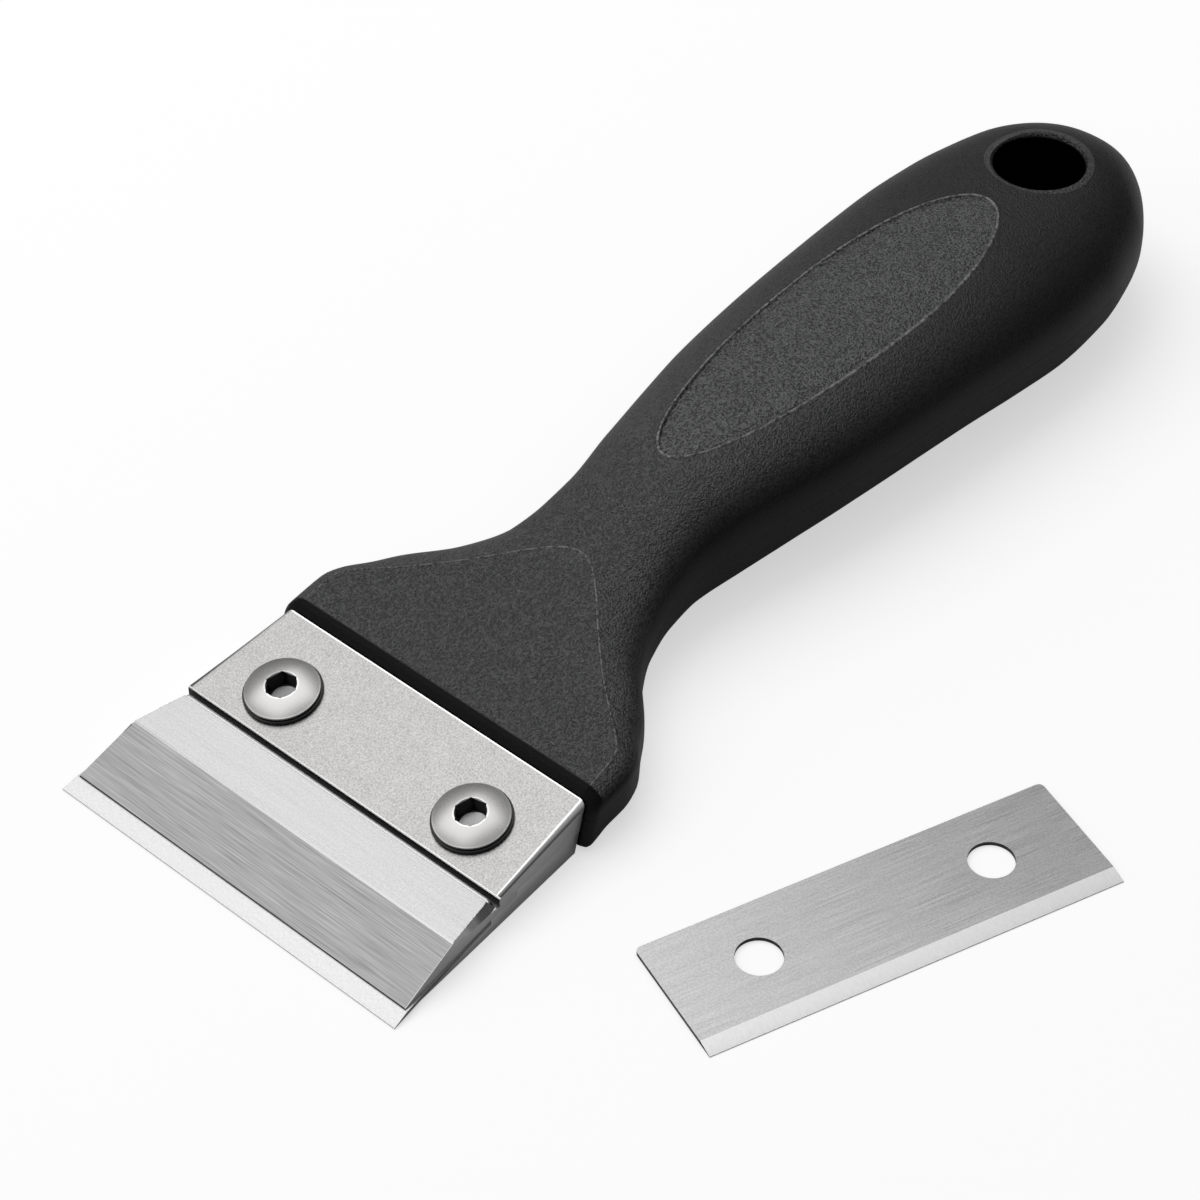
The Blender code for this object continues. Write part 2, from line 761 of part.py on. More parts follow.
def loft(rows):
    """Closed solid through rows of points of one length, with flat ends."""
    bm = bmesh.new()
    rings = [[bm.verts.new(p) for p in row] for row in rows]
    count = len(rings[0])
    for a, b in zip(rings, rings[1:]):
        for i in range(count):
            j = (i + 1) % count
            bm.faces.new((a[i], a[j], b[j], b[i]))
    bm.faces.new(reversed(rings[0]))
    bm.faces.new(rings[-1])
    return bm


def handle_stations():
    """X and inset of each section: the rounded lip, the body, and the round butt."""
    stations = []
    lip_steps = 4
    for i in range(lip_steps):
        angle = math.pi / 2 * i / lip_steps
        stations.append((COLLAR_AT + COLLAR_LIP * (1 - math.cos(angle)) * 0.9, COLLAR_LIP * (1 - math.sin(angle))))
    body_start = COLLAR_AT + COLLAR_LIP
    body_end = HANDLE_END_AT - BUTT_ROUND
    body_steps = 28
    for i in range(body_steps):
        stations.append((body_start + (body_end - body_start) * i / body_steps, 0.0))
    butt_steps = 10
    for i in range(butt_steps):
        angle = math.radians(87) * i / (butt_steps - 1)
        stations.append((body_end + BUTT_ROUND * math.sin(angle), 0.0))
    return stations


def half_shell_body(upper):
    rows = [section_points(x, upper, 16, inset, GAP / 2) for x, inset in handle_stations()]
    return loft(rows)


def tang_half_width(x):
    wide = FLANGE_WIDTH / 2 - GAP
    narrow = TANG_WIDTH / 2
    start = HEAD_LENGTH + FLANGE_LENGTH - 2 * MM
    return along([(start, wide), (start + TANG_FLARE, narrow)], x)


def tang_strip(grow):
    """Strip that follows the parting height, grown by a clearance on every side."""
    steps = 22
    rows = []
    for i in range(steps + 1):
        x = TANG_FRONT_AT + (TANG_BACK_AT - TANG_FRONT_AT) * i / steps
        y = tang_half_width(x) + 1.5 * grow
        low = parting_height(x) - TANG_THICKNESS / 2 - grow
        high = parting_height(x) + TANG_THICKNESS / 2 + grow
        if i == 0:
            x -= grow
        if i == steps:
            x += grow
        rows.append([(x, y, low), (x, y, high), (x, -y, high), (x, -y, low)])
    return loft(rows)


def make_tang(root):
    tang = finish(tang_strip(0.0), "tang", jaw_steel(), root)
    for side, word in ((1, "left"), (-1, "right")):
        place = Matrix.Translation((RIVET_AT, side * RIVET_SPACING / 2, 0))
        boolean(tang, cylinder(f"tang_rivet_hole_{word}", RIVET_SHANK + 2 * GAP, 0, THROUGH, place, root))
    for name, (x, y) in SHELL_SCREWS.items():
        if y == 0:
            place = Matrix.Translation((x, y, 0))
            boolean(tang, cylinder(f"tang_{name}", SHELL_SCREW_SHANK + 2 * GAP, 0, THROUGH, place, root))


def rivet_top():
    return parting_height(RIVET_AT) + TANG_THICKNESS / 2


def make_tang_rivet(root, side, word):
    """Rivet with a domed head on the tang and a flush foot under the carrier's flange."""
    tilt_room = RIVET_HEAD / 2 * math.tan(math.radians(8))
    seat = rivet_top() + tilt_room + THIN_GAP
    head = RIVET_HEAD / 2
    shank = RIVET_SHANK / 2
    profile = [(0, FLANGE_LIFT), (shank, FLANGE_LIFT), (shank, seat), (head, seat)]
    steps = 4
    for i in range(1, steps):
        angle = math.pi / 2 * i / steps
        profile.append((head * math.cos(angle), seat + RIVET_HEAD_HEIGHT * math.sin(angle)))
    profile.append((0, seat + RIVET_HEAD_HEIGHT))
    rivet = finish(turned(profile, 16), f"tang_rivet_{word}", screw_steel(), root)
    origin_to(rivet, (0, 0, FLANGE_LIFT))
    rivet.location = (RIVET_AT, side * RIVET_SPACING / 2, FLANGE_LIFT)


def collar_pocket(root):
    """Room in the collar for the flange, the tang and the rivet heads."""
    start = COLLAR_AT + COLLAR_LIP + GAP
    end = HEAD_LENGTH + FLANGE_LENGTH + GAP
    head_room = TANG_THICKNESS / 2 + RIVET_HEAD_HEIGHT + 3 * GAP
    width = FLANGE_WIDTH / 2 + GAP
    rows = []
    steps = 6
    for i in range(steps + 1):
        x = start + (end - start) * i / steps
        high = parting_height(x) + head_room
        rows.append([(x, width, FLOOR), (x, width, high), (x, -width, high), (x, -width, FLOOR)])
    return finish(loft(rows), "collar_pocket", parent=root)


def collar_mouth(root):
    """Opening in the collar's front face for the flange."""
    start = COLLAR_AT - 8 * MM
    end = COLLAR_AT + COLLAR_LIP + 2 * GAP
    top = flange_top(COLLAR_AT) + GAP
    return finish(
        prism([(start, FLOOR), (start, top), (end, top), (end, FLOOR)], lambda x: FLANGE_WIDTH / 2 + GAP),
        "collar_mouth",
        parent=root,
    )


def cavity(root):
    """Hollow of the handle, less the ribs, bosses and hole tube that stay solid."""
    start = CAVITY_FRONT_AT
    end = HANDLE_END_AT - 2 * WALL
    steps = 18
    rows = []
    for i in range(steps + 1):
        x = start + (end - start) * i / steps
        over = section_points(x, True, 10, WALL)
        under = section_points(x, False, 10, WALL)
        rows.append(over + under[-2:0:-1])
    hollow = finish(loft(rows), "handle_cavity", parent=root)
    tube = cylinder(
        "hole_tube",
        HOLE_WIDTH + 2 * HOLE_RIM + 2 * WALL,
        -5 * MM,
        THROUGH,
        Matrix.Translation((HOLE_AT, 0, 0)),
        root,
    )
    boolean(hollow, tube)
    for name, (x, y) in SHELL_SCREWS.items():
        if y == 0:
            place = Matrix.Translation((x, y, 0))
            boolean(hollow, cylinder(f"boss_{name}", BOSS_WIDTH, -5 * MM, THROUGH, place, root, sides=24))
    for number, x in enumerate(RIBS_AT):
        rib = finish(
            prism(
                [
                    (x, -5 * MM),
                    (x, THROUGH),
                    (x + RIB_THICKNESS, THROUGH),
                    (x + RIB_THICKNESS, -5 * MM),
                ],
                lambda _: 2 * GRIP_HALF_WIDTH,
            ),
            f"rib_{number}",
            parent=root,
        )
        boolean(hollow, rib)
    return hollow


def screw_span(name):
    """Heights of a shell screw: foot of its head, seat of its head, and tip."""
    x, y = SHELL_SCREWS[name]
    foot = outside_height(x, y, False) + SHELL_SCREW_SUNK
    return foot, foot + SHELL_SCREW_HEAD_HEIGHT, outside_height(x, y, True) - SHELL_SCREW_COVER


def make_shell_screw(root, name):
    """Pan head screw, driven from below."""
    x, y = SHELL_SCREWS[name]
    foot, seat, tip = screw_span(name)
    head = SHELL_SCREW_HEAD / 2
    shank = SHELL_SCREW_SHANK / 2
    profile = [
        (0, foot),
        (0.8 * head, foot),
        (head, foot + GAP),
        (head, seat),
        (shank, seat),
        (shank, tip - shank),
        (0.4 * shank, tip),
        (0, tip),
    ]
    screw = finish(turned(profile, 16), name, screw_steel(), root)
    origin_to(screw, (0, 0, foot))
    screw.location = (x, y, foot)


def screw_cutters(root):
    """Stepped holes: a recess for each screw's head from below, and a bore for its shank."""
    cutters = []
    for name, (x, y) in SHELL_SCREWS.items():
        _, seat, tip = screw_span(name)
        recess = SHELL_SCREW_HEAD / 2 + GAP
        bore = SHELL_SCREW_SHANK / 2 + GAP
        profile = [
            (0, -2 * MM),
            (recess, -2 * MM),
            (recess, seat + GAP),
            (bore, seat + GAP),
            (bore, tip + GAP),
            (0, tip + GAP),
        ]
        cutter = finish(turned(profile, 20), f"bore_{name}", parent=root)
        cutter.location = (x, y, 0)
        cutters.append(cutter)
    return cutters


def hanging_hole(root):
    """Cutter of the hanging hole, flared by a round rim at the top and underneath."""
    radius = HOLE_WIDTH / 2
    top = outside_height(HOLE_AT, 0, True)
    bottom = outside_height(HOLE_AT, 0, False)
    rim = radius + HOLE_RIM
    low_side = [(r, z) for r, z in arc((rim, bottom + HOLE_RIM), HOLE_RIM, 270, 180, 3)]
    high_side = [(r, z) for r, z in arc((rim, top - HOLE_RIM), HOLE_RIM, 180, 90, 3)]
    beyond = rim + 2 * HOLE_RIM
    profile = [(0, bottom - HOLE_RIM), (beyond, bottom - HOLE_RIM), *low_side]
    profile += [*high_side, (beyond, top + HOLE_RIM), (0, top + HOLE_RIM)]
    cutter = finish(turned(profile, 36), "hanging_hole", parent=root)
    cutter.location = (HOLE_AT, 0, 0)
    return cutter


def pad_solid(grow, low, high, edge_drop=0.0):
    """Solid that follows the handle's top, between two depths under it."""
    around = 40
    shares = (0.35, 0.7, 0.93, 1.0)
    bm = bmesh.new()

    def ring(share, depth):
        verts = []
        for i in range(around):
            angle = 2 * math.pi * i / around
            c, s = math.cos(angle), math.sin(angle)
            length = (PAD_BACK_AT - PAD_WIDEST_AT if c > 0 else PAD_WIDEST_AT - PAD_FRONT_AT) + grow
            x = PAD_WIDEST_AT + share * length * c
            y = share * (PAD_HALF_WIDTH + grow) * s
            verts.append(bm.verts.new((x, y, outside_height(x, y, True) - depth)))
        return verts

    def bridge(a, b):
        for i in range(around):
            j = (i + 1) % around
            bm.faces.new((a[i], a[j], b[j], b[i]))

    tops = [ring(share, high + (edge_drop if share == 1.0 else 0.0)) for share in shares]
    bottoms = [ring(share, low) for share in shares]
    for rings in (tops, bottoms):
        for a, b in zip(rings, rings[1:]):
            bridge(a, b)
    bridge(tops[-1], bottoms[-1])
    for ring_verts, depth in ((tops[0], high), (bottoms[0], low)):
        center = bm.verts.new((PAD_WIDEST_AT, 0, outside_height(PAD_WIDEST_AT, 0, True) - depth))
        for i in range(around):
            bm.faces.new((ring_verts[i], ring_verts[(i + 1) % around], center))
    return bm


def make_grip_pad(root):
    finish(pad_solid(0.0, PAD_SUNK + PAD_THICKNESS, PAD_SUNK, 0.25 * MM), "grip_pad", pad_rubber(), root)


def panel_cutter(root):
    """Everything above the collar's flat triangular panel, as far as its apex."""
    start = COLLAR_AT - 10 * MM
    end = PANEL_APEX_AT + 0.6 * MM
    high = THROUGH
    return finish(
        prism(
            [(start, panel_height(start)), (start, high), (end, high), (end, panel_height(end))],
            lambda x: COLLAR_HALF_WIDTH + 5 * MM,
        ),
        "panel_cutter",
        parent=root,
    )


def make_handle(root):
    pocket = collar_pocket(root)
    mouth = collar_mouth(root)
    hollow = cavity(root)
    tang_slot = finish(tang_strip(GAP), "tang_slot", parent=root)
    holes = [hanging_hole(root), *screw_cutters(root)]
    for upper, name in ((True, "handle_upper_shell"), (False, "handle_lower_shell")):
        shell = finish(half_shell_body(upper), name, handle_plastic(), root)
        if upper:
            boolean(shell, panel_cutter(root))
        boolean(shell, hollow)
        boolean(shell, pocket)
        boolean(shell, tang_slot)
        for cutter in holes:
            boolean(shell, cutter)
        if upper:
            recess = pad_solid(GAP, PAD_SUNK + PAD_THICKNESS + GAP, -3 * MM)
            boolean(shell, finish(recess, "pad_recess", parent=root))
        else:
            boolean(shell, mouth)


def main():
    clear_scene()
    root = bpy.data.objects.new("scraper", None)
    bpy.context.collection.objects.link(root)
    root.location = (-ORIGIN_AT, 0, 0)

    make_carrier(root)
    make_blade(root)
    make_front_jaw(root)
    make_clamp_block(root)
    for side, word in ((1, "left"), (-1, "right")):
        make_locating_pin(root, side, word)
        make_screw_washer(root, side, word)
        make_clamp_screw(root, side, word)
        make_tang_rivet(root, side, word)
    make_tang(root)
    make_handle(root)
    make_grip_pad(root)
    for name in SHELL_SCREWS:
        make_shell_screw(root, name)
    make_spare_blade(root)


main()
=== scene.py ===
"""Looks for a hand scraper with a clamped blade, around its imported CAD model.

Metres, in the model's own frame: +X from the cutting edge to the butt, +Y to the left, +Z up.
Places along the tool, whose names end in AT, are measured from the cutting edge.
"""
import json
import math

import bmesh
import bpy
from mathutils import Matrix, Vector
from mathutils.kdtree import KDTree


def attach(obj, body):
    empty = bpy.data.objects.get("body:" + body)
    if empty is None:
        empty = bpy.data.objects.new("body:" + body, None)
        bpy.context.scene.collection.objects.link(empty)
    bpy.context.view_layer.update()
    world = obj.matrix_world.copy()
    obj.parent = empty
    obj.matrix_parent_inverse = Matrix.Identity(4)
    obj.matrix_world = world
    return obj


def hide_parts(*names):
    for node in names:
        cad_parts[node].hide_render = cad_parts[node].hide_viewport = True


MM = 0.001
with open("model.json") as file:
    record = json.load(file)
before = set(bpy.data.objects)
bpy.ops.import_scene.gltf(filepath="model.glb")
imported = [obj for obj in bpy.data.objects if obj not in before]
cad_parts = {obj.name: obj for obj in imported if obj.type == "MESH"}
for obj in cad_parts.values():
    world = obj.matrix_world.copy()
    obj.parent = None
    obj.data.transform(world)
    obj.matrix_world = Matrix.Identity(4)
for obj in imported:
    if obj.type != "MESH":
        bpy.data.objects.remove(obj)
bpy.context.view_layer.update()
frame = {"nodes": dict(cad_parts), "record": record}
scene = bpy.context.scene

# Sizes of the source
ORIGIN_AT = 27.7 * MM
HEAD_LENGTH = 38.7 * MM
GAP = 0.3 * MM
CLAMP_FRONT = (20.9 * MM, 4.7 * MM)
CLAMP_BACK = (HEAD_LENGTH, 7.6 * MM)
CLAMP_SLOPE = math.atan2(CLAMP_BACK[1] - CLAMP_FRONT[1], CLAMP_BACK[0] - CLAMP_FRONT[0])
SCREW_SIDE = 17 * MM
SCREW_HEIGHT = CLAMP_FRONT[1] + (ORIGIN_AT - CLAMP_FRONT[0]) * math.tan(CLAMP_SLOPE)
COLLAR_AT = HEAD_LENGTH + GAP
COLLAR_HALF_WIDTH = 28.2 * MM
COLLAR_HEIGHT = 9.0 * MM
COLLAR_LEAN = 0.30
COLLAR_LIP = 1.5 * MM
NECK_AT = 77 * MM
NECK_HALF_WIDTH = 12.2 * MM
NECK_TOP = 18.6 * MM
GRIP_AT = 150 * MM
GRIP_HALF_WIDTH = 20.3 * MM
GRIP_TOP = 23.7 * MM
GRIP_HOLLOW = 1.8 * MM
BUTT_HALF_WIDTH = 11.8 * MM
BUTT_TOP = 23.8 * MM
BUTT_LIFT = 3.0 * MM
BUTT_ROUND = 13.8 * MM
HANDLE_END_AT = 185.1 * MM
PANEL_HEIGHT = 8.3 * MM
PANEL_SLOPE = math.radians(13.2)
PANEL_APEX_AT = 66.5 * MM
HOLE_AT = 167.5 * MM
HOLE_WIDTH = 13.6 * MM
HOLE_RIM = 1.4 * MM
WALL = 2.4 * MM
FLOOR = 1.2 * MM
FLANGE_WIDTH = 36 * MM
SHELL_SCREW_WIDTH = 5.4 * MM
SHELL_SCREWS = ((45.6 * MM, 22.8 * MM), (45.6 * MM, -22.8 * MM), (93 * MM, 0.0), (145 * MM, 0.0))
PAD_FRONT_AT = 83.5 * MM
PAD_WIDEST_AT = 126 * MM
PAD_BACK_AT = 155 * MM
PAD_HALF_WIDTH = 9.8 * MM
BLADE_LENGTH = 60 * MM
BLADE_BEVEL = 2.4 * MM
BLADE_DEPTH = 19 * MM
BLADE_THICKNESS = 0.6 * MM
BLADE_HOLE = 6.2 * MM
BLADE_HOLE_AT = 10.6 * MM
BLADE_SEAT = math.radians(5)
EDGE_LIFT = 0.1 * MM
SPARE_CORNER = 0.8 * MM
SPARE_PLACE = (53.6 * MM - ORIGIN_AT, -62.6 * MM)
SPARE_TURN = math.radians(-20) + math.pi / 2
CARRIER_HEIGHT = 3.3 * MM
HEAD_HALF_WIDTH = 29.4 * MM
HEAD_TAPER = math.radians(4.3)
NOSE_FRONT_AT = 11.8 * MM
NOSE_BACK_AT = 19.3 * MM
NOSE_HEIGHT = 4.7 * MM
NOSE_STEP = 0.25 * MM
NOSE_ROUND = 0.9 * MM
NOSE_CHAMFER = 1.1 * MM
SCREW_WIDTH = 10.3 * MM
SCREW_SHANK = 5.9 * MM
SCREW_REACH = 5.3 * MM
HEAD_HEIGHT = 1.3 * MM
SOCKET = 4.0 * MM
SOCKET_TURN = math.radians(42)
WASHER_THICKNESS = 0.3 * MM

# Sizes that differ from the source, or that only the scene has
SLIT = 0.02 * MM
# Width of the painted highlight along the clamp's back edge
BACK_EDGE_HIGHLIGHT_WIDTH = 0.2 * MM
FLANGE_TOP = 3.1 * MM
CARRIER_EDGE = 0.06 * MM
EDGE_LAND = 0.13 * MM
BLADE_CORNER = 0.1 * MM
BLADE_BACK_AT = BLADE_DEPTH + 0.13 * MM
JAW_CLEARANCE = 0.15 * MM
LIP_END_AT = 24.15 * MM
PIN_DEPTH = 1.75 * MM
SCREW_PITCH = 1.0 * MM
THREAD_START = 0.4 * MM - SCREW_REACH
THREAD_DEPTH = 0.55 * SCREW_PITCH
HEAD_SEAT = 0.6 * MM
HEAD_RIM = 0.32 * MM
SOCKET_DEPTH = 2.9 * MM
WASHER_WIDTH = 10.8 * MM
WASHER_LIFT = 0.15 * MM
PANEL_END_AT = 66.8 * MM
BEAD_WIDTH = 0.36 * MM
BEAD_HEIGHT = 0.11 * MM
PAD_DEPTH = 1.35 * MM
PAD_RIM = 0.48 * MM
PAD_SUNK = 0.3 * MM
PAD_GAP = 0.03 * MM

# Fineness of the meshes
BORE_SIDES, FINE_SIDES, PAD_SIDES = 64, 96, 144
SIDE_STEPS, EDGE_STEPS, FLAT_STEPS = 26, 8, 24
LOWER_STEPS, HOLLOW_STEPS, LIP_STEPS, BUTT_STEPS = 64, 20, 8, 30
HOLLOW_ROWS, OUTLINE_STEPS, PAD_RIM_STEPS = 40, 1600, 8
DOME_STEPS, THREAD_RINGS = 24, 52
PITCH, FINE_PITCH = 0.7 * MM, 0.12 * MM
WELD = 2e-6
CAD_ANGLE = math.radians(24)
FLAT_ANGLE = math.radians(0.6)
LARGE_FACE_WEIGHT = 100


# Mesh helpers
def new_object(bm, name, look=None):
    bmesh.ops.recalc_face_normals(bm, faces=bm.faces)
    mesh = bpy.data.meshes.new(name)
    bm.to_mesh(mesh)
    bm.free()
    obj = bpy.data.objects.new(name, mesh)
    scene.collection.objects.link(obj)
    if look:
        mesh.materials.append(MATERIALS[look])
    return obj


def modify(obj, name, kind, **settings):
    modifier = obj.modifiers.new(name, kind)
    for key, value in settings.items():
        setattr(modifier, key, value)


def cut(obj, *cutters):
    """Cuts solids out of an object, applies the cuts and removes the solids."""
    for cutter in cutters:
        modify(obj, cutter.name, "BOOLEAN", object=cutter, operation="DIFFERENCE", solver="MANIFOLD")
    bpy.context.view_layer.update()
    shaped = obj.evaluated_get(bpy.context.evaluated_depsgraph_get())
    mesh = bpy.data.meshes.new_from_object(shaped)
    obj.modifiers.clear()
    obj.data = mesh
    for cutter in cutters:
        bpy.data.objects.remove(cutter)


def smooth(obj, degrees, flat_faces=False):
    """Shades smooth below an angle; with flat_faces, large flat faces stay flat."""
    obj.data.shade_smooth()
    obj.data.set_sharp_from_angle(angle=math.radians(degrees))
    if flat_faces:
        modify(obj, "weighted", "WEIGHTED_NORMAL", weight=LARGE_FACE_WEIGHT, keep_sharp=True)


def join_rings(bm, rings):
    """Faces between neighbouring rings of one length, or between a ring and a point."""
    for a, b in zip(rings, rings[1:]):
        count = max(len(a), len(b))
        for i in range(count):
            j = (i + 1) % count
            corners = (a[i % len(a)], a[j % len(a)], b[j % len(b)], b[i % len(b)])
            bm.faces.new(dict.fromkeys(corners))


def turned(profile, sides, swell=None):
    """Solid of revolution about Z from (radius, z) points; swell adds to the radius."""
    bm = bmesh.new()
    rings = []
    for r, z in profile:
        if r == 0:
            rings.append([bm.verts.new((0, 0, z))])
            continue
        ring = []
        for i in range(sides):
            angle = 2 * math.pi * i / sides
            reach = r + (swell(r, z, angle) if swell else 0.0)
            ring.append(bm.verts.new((reach * math.cos(angle), reach * math.sin(angle), z)))
        rings.append(ring)
    join_rings(bm, rings)
    return bm


def revolved(name, profile, sides, place):
    obj = new_object(turned(profile, sides), name)
    obj.data.transform(place)
    return obj


def bore(name, radius, low, high, place):
    """Round cutter that reaches from low to high along its own Z."""
    return revolved(name, [(0, low), (radius, low), (radius, high), (0, high)], BORE_SIDES, place)


def loft(rows):
    """Solid through rows of points of one length, with flat ends."""
    bm = bmesh.new()
    rings = [[bm.verts.new(p) for p in row] for row in rows]
    join_rings(bm, rings)
    bm.faces.new(reversed(rings[0]))
    bm.faces.new(rings[-1])
    return bm


def arc(middle, radius, start, end, steps):
    turns = [math.radians(start + (end - start) * i / steps) for i in range(steps + 1)]
    return [(middle[0] + radius * math.cos(a), middle[1] + radius * math.sin(a)) for a in turns]


def along(stations, x):
    """Smooth curve through (x, value) stations, without overshoot between them."""
    if x <= stations[0][0]:
        return stations[0][1]
    if x >= stations[-1][0]:
        return stations[-1][1]
    slopes = [(b[1] - a[1]) / (b[0] - a[0]) for a, b in zip(stations, stations[1:])]
    tangents = [slopes[0]]
    for a, b in zip(slopes, slopes[1:]):
        tangents.append(0.0 if a * b <= 0 else 2 * a * b / (a + b))
    tangents.append(slopes[-1])
    for i, (a, b) in enumerate(zip(stations, stations[1:])):
        if x <= b[0]:
            span = b[0] - a[0]
            t = (x - a[0]) / span
            return (
                (2 * t**3 - 3 * t**2 + 1) * a[1]
                + (t**3 - 2 * t**2 + t) * span * tangents[i]
                + (3 * t**2 - 2 * t**3) * b[1]
                + (t**3 - t**2) * span * tangents[i + 1]
            )


def replace_node(obj, node, body):
    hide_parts(node)
    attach(obj, body)


# Shader helpers
def add(tree, kind, inputs=None, **settings):
    made = tree.nodes.new(kind)
    for key, value in settings.items():
        setattr(made, key, value)
    for key, value in (inputs or {}).items():
        if isinstance(value, bpy.types.NodeSocket):
            tree.links.new(value, made.inputs[key])
        else:
            made.inputs[key].default_value = value
    return made


def sums(tree, operation, *values):
    return add(tree, "ShaderNodeMath", dict(enumerate(values)), operation=operation).outputs[0]


def times(tree, a, b):
    return sums(tree, "MULTIPLY", a, b)


def other(tree, factor):
    """One minus a factor."""
    return sums(tree, "SUBTRACT", 1.0, factor)


def new_material(name, **shader):
    made = bpy.data.materials.new(name)
    made.use_nodes = True
    tree = made.node_tree
    bsdf = tree.nodes["Principled BSDF"]
    for key, value in shader.items():
        bsdf.inputs[key.replace("_", " ")].default_value = value
    return made, tree, bsdf


def feed(bsdf, **sockets):
    for key, value in sockets.items():
        bsdf.id_data.links.new(value, bsdf.inputs[key.replace("_", " ")])


def grey(value, warm=0.0):
    return (value * (1 + warm), value, value * (1 - warm), 1.0)


def mix(tree, factor, a, b):
    return add(tree, "ShaderNodeMix", {0: factor, 6: a, 7: b}, data_type="RGBA").outputs[2]


def blend(tree, factor, a, b):
    return add(tree, "ShaderNodeMix", {0: factor, 2: a, 3: b}, data_type="FLOAT").outputs[0]


def spread(tree, value, low, high, to_low=0.0, to_high=1.0):
    limits = {"From Min": low, "From Max": high, "To Min": to_low, "To Max": to_high}
    return add(tree, "ShaderNodeMapRange", {"Value": value, **limits}).outputs[0]


def contrast(tree, value, to_low=0.0, to_high=1.0):
    """Spreads the values that a noise mostly has."""
    return spread(tree, value, 0.3, 0.7, to_low, to_high)


def shades(tree, value, dark, light):
    return mix(tree, contrast(tree, value), grey(dark), grey(light))


def place_of(tree):
    return add(tree, "ShaderNodeTexCoord").outputs["Object"]


def normal_of(tree):
    return add(tree, "ShaderNodeTexCoord").outputs["Normal"]


def noise(tree, scale, detail=2.0, roughness=0.6, vector=None):
    settings = {"Scale": scale, "Detail": detail, "Roughness": roughness}
    return add(tree, "ShaderNodeTexNoise", {"Vector": vector or place_of(tree), **settings}).outputs["Fac"]


def axis_of(tree, vector, axis):
    return add(tree, "ShaderNodeSeparateXYZ", {0: vector}).outputs[axis]


def vector_sums(tree, operation, a, b, output=0):
    return add(tree, "ShaderNodeVectorMath", {0: a, 1: b}, operation=operation).outputs[output]


def turned_about_z(tree, vector, angle):
    made = add(tree, "ShaderNodeVectorRotate", {"Vector": vector, "Angle": angle}, rotation_type="Z_AXIS")
    return made.outputs[0]


def streaks(tree, turn, run, width, detail=3.0):
    """Thin streaks that run along +Y turned about Z."""
    place = turned_about_z(tree, place_of(tree), -turn)
    sized = vector_sums(tree, "MULTIPLY", place, (1 / width, 1 / run, 1 / width))
    return noise(tree, 1.0, detail, 0.6, sized)


def bump(tree, height, strength, distance):
    inputs = {"Height": height, "Strength": strength, "Distance": distance}
    return add(tree, "ShaderNodeBump", inputs).outputs[0]


def upward(tree):
    """How far the surface faces up, from 0 on its sides to 1."""
    return spread(tree, axis_of(tree, normal_of(tree), "Z"), 0.45, 0.97)


# Steel
WARM = 0.012
STREAK_RUN, STREAK_WIDTH = 12 * MM, 0.1 * MM
SIDE_RUN, SIDE_WIDTH = 7 * MM, 0.14 * MM
REGION_RUN, REGION_WIDTH = 9 * MM, 0.11 * MM
# Rolled edges lighter, partly a painted highlight; side faces lighter as painted light; painted shadow on
# steep faces in the groove
EDGE_SHADE, SIDE_SHADES, GROOVE_SHADOW = 0.8, (0.58, 0.68), 0.04
EDGE_ROUGHNESS = 0.22
# Painted highlight along the clamp's back edge; painted highlight on a screw socket's floor and top ring;
# painted shadow on the socket's walls
BACK_EDGE_HIGHLIGHT, SOCKET_HIGHLIGHT, SOCKET_SHADOW = 0.95, 0.72, 0.04


def turned_away(tree, front):
    """Factors by how far the surface turns away from the top: rolled edges, side faces, steep front faces."""
    facing = normal_of(tree)
    ahead = sums(tree, "ABSOLUTE", axis_of(tree, facing, "X"))
    aside = sums(tree, "ABSOLUTE", axis_of(tree, facing, "Y"))
    side = spread(tree, aside, 0.88, 0.95)
    rolled = sums(tree, "MAXIMUM", spread(tree, aside, 0.1, 0.16), spread(tree, ahead, front, front + 0.08))
    return times(tree, rolled, other(tree, side)), side, spread(tree, ahead, 0.86, 0.95)


def with_edges(tree, bsdf, colour, roughness, front):
    """Links colour and roughness: rolled edges lighter and smoother, partly polish and partly a painted
    highlight; sides ground across and lighter as painted light; steep faces in the groove nearly black as
    painted shadow.
    """
    edges, sides, steep = turned_away(tree, front)
    # Side faces: marks ground across, and lighter shades as painted light
    ground = shades(tree, streaks(tree, math.pi / 2, SIDE_RUN, SIDE_WIDTH), *SIDE_SHADES)
    # Rolled edges lighter as partly a painted highlight; steep faces in the groove nearly black as painted
    # shadow
    rounded = mix(tree, steep, mix(tree, edges, colour, grey(EDGE_SHADE)), grey(GROOVE_SHADOW))
    feed(bsdf, Base_Color=mix(tree, sides, rounded, ground),
         Roughness=blend(tree, edges, roughness, EDGE_ROUGHNESS))


def upright_faces(tree, bsdf, colour, roughness, dark, light):
    """Links colour and roughness; the narrow upright faces of a blade get darker shades as painted shade."""
    level = sums(tree, "ABSOLUTE", axis_of(tree, normal_of(tree), "Z"))
    upright = spread(tree, level, 0.15, 0.35, 1.0, 0.0)
    side = shades(tree, noise(tree, 700.0), dark, light)
    feed(bsdf, Base_Color=mix(tree, upright, colour, side), Roughness=roughness)


def ahead_of_line(tree, origin, turn, distance):
    """Factor that is 1 on the edge's side of a line across X turned about Z, and 0 behind it."""
    moved = vector_sums(tree, "SUBTRACT", place_of(tree), (*origin, 0.0))
    return sums(tree, "LESS_THAN", axis_of(tree, turned_about_z(tree, moved, -turn), "X"), distance)


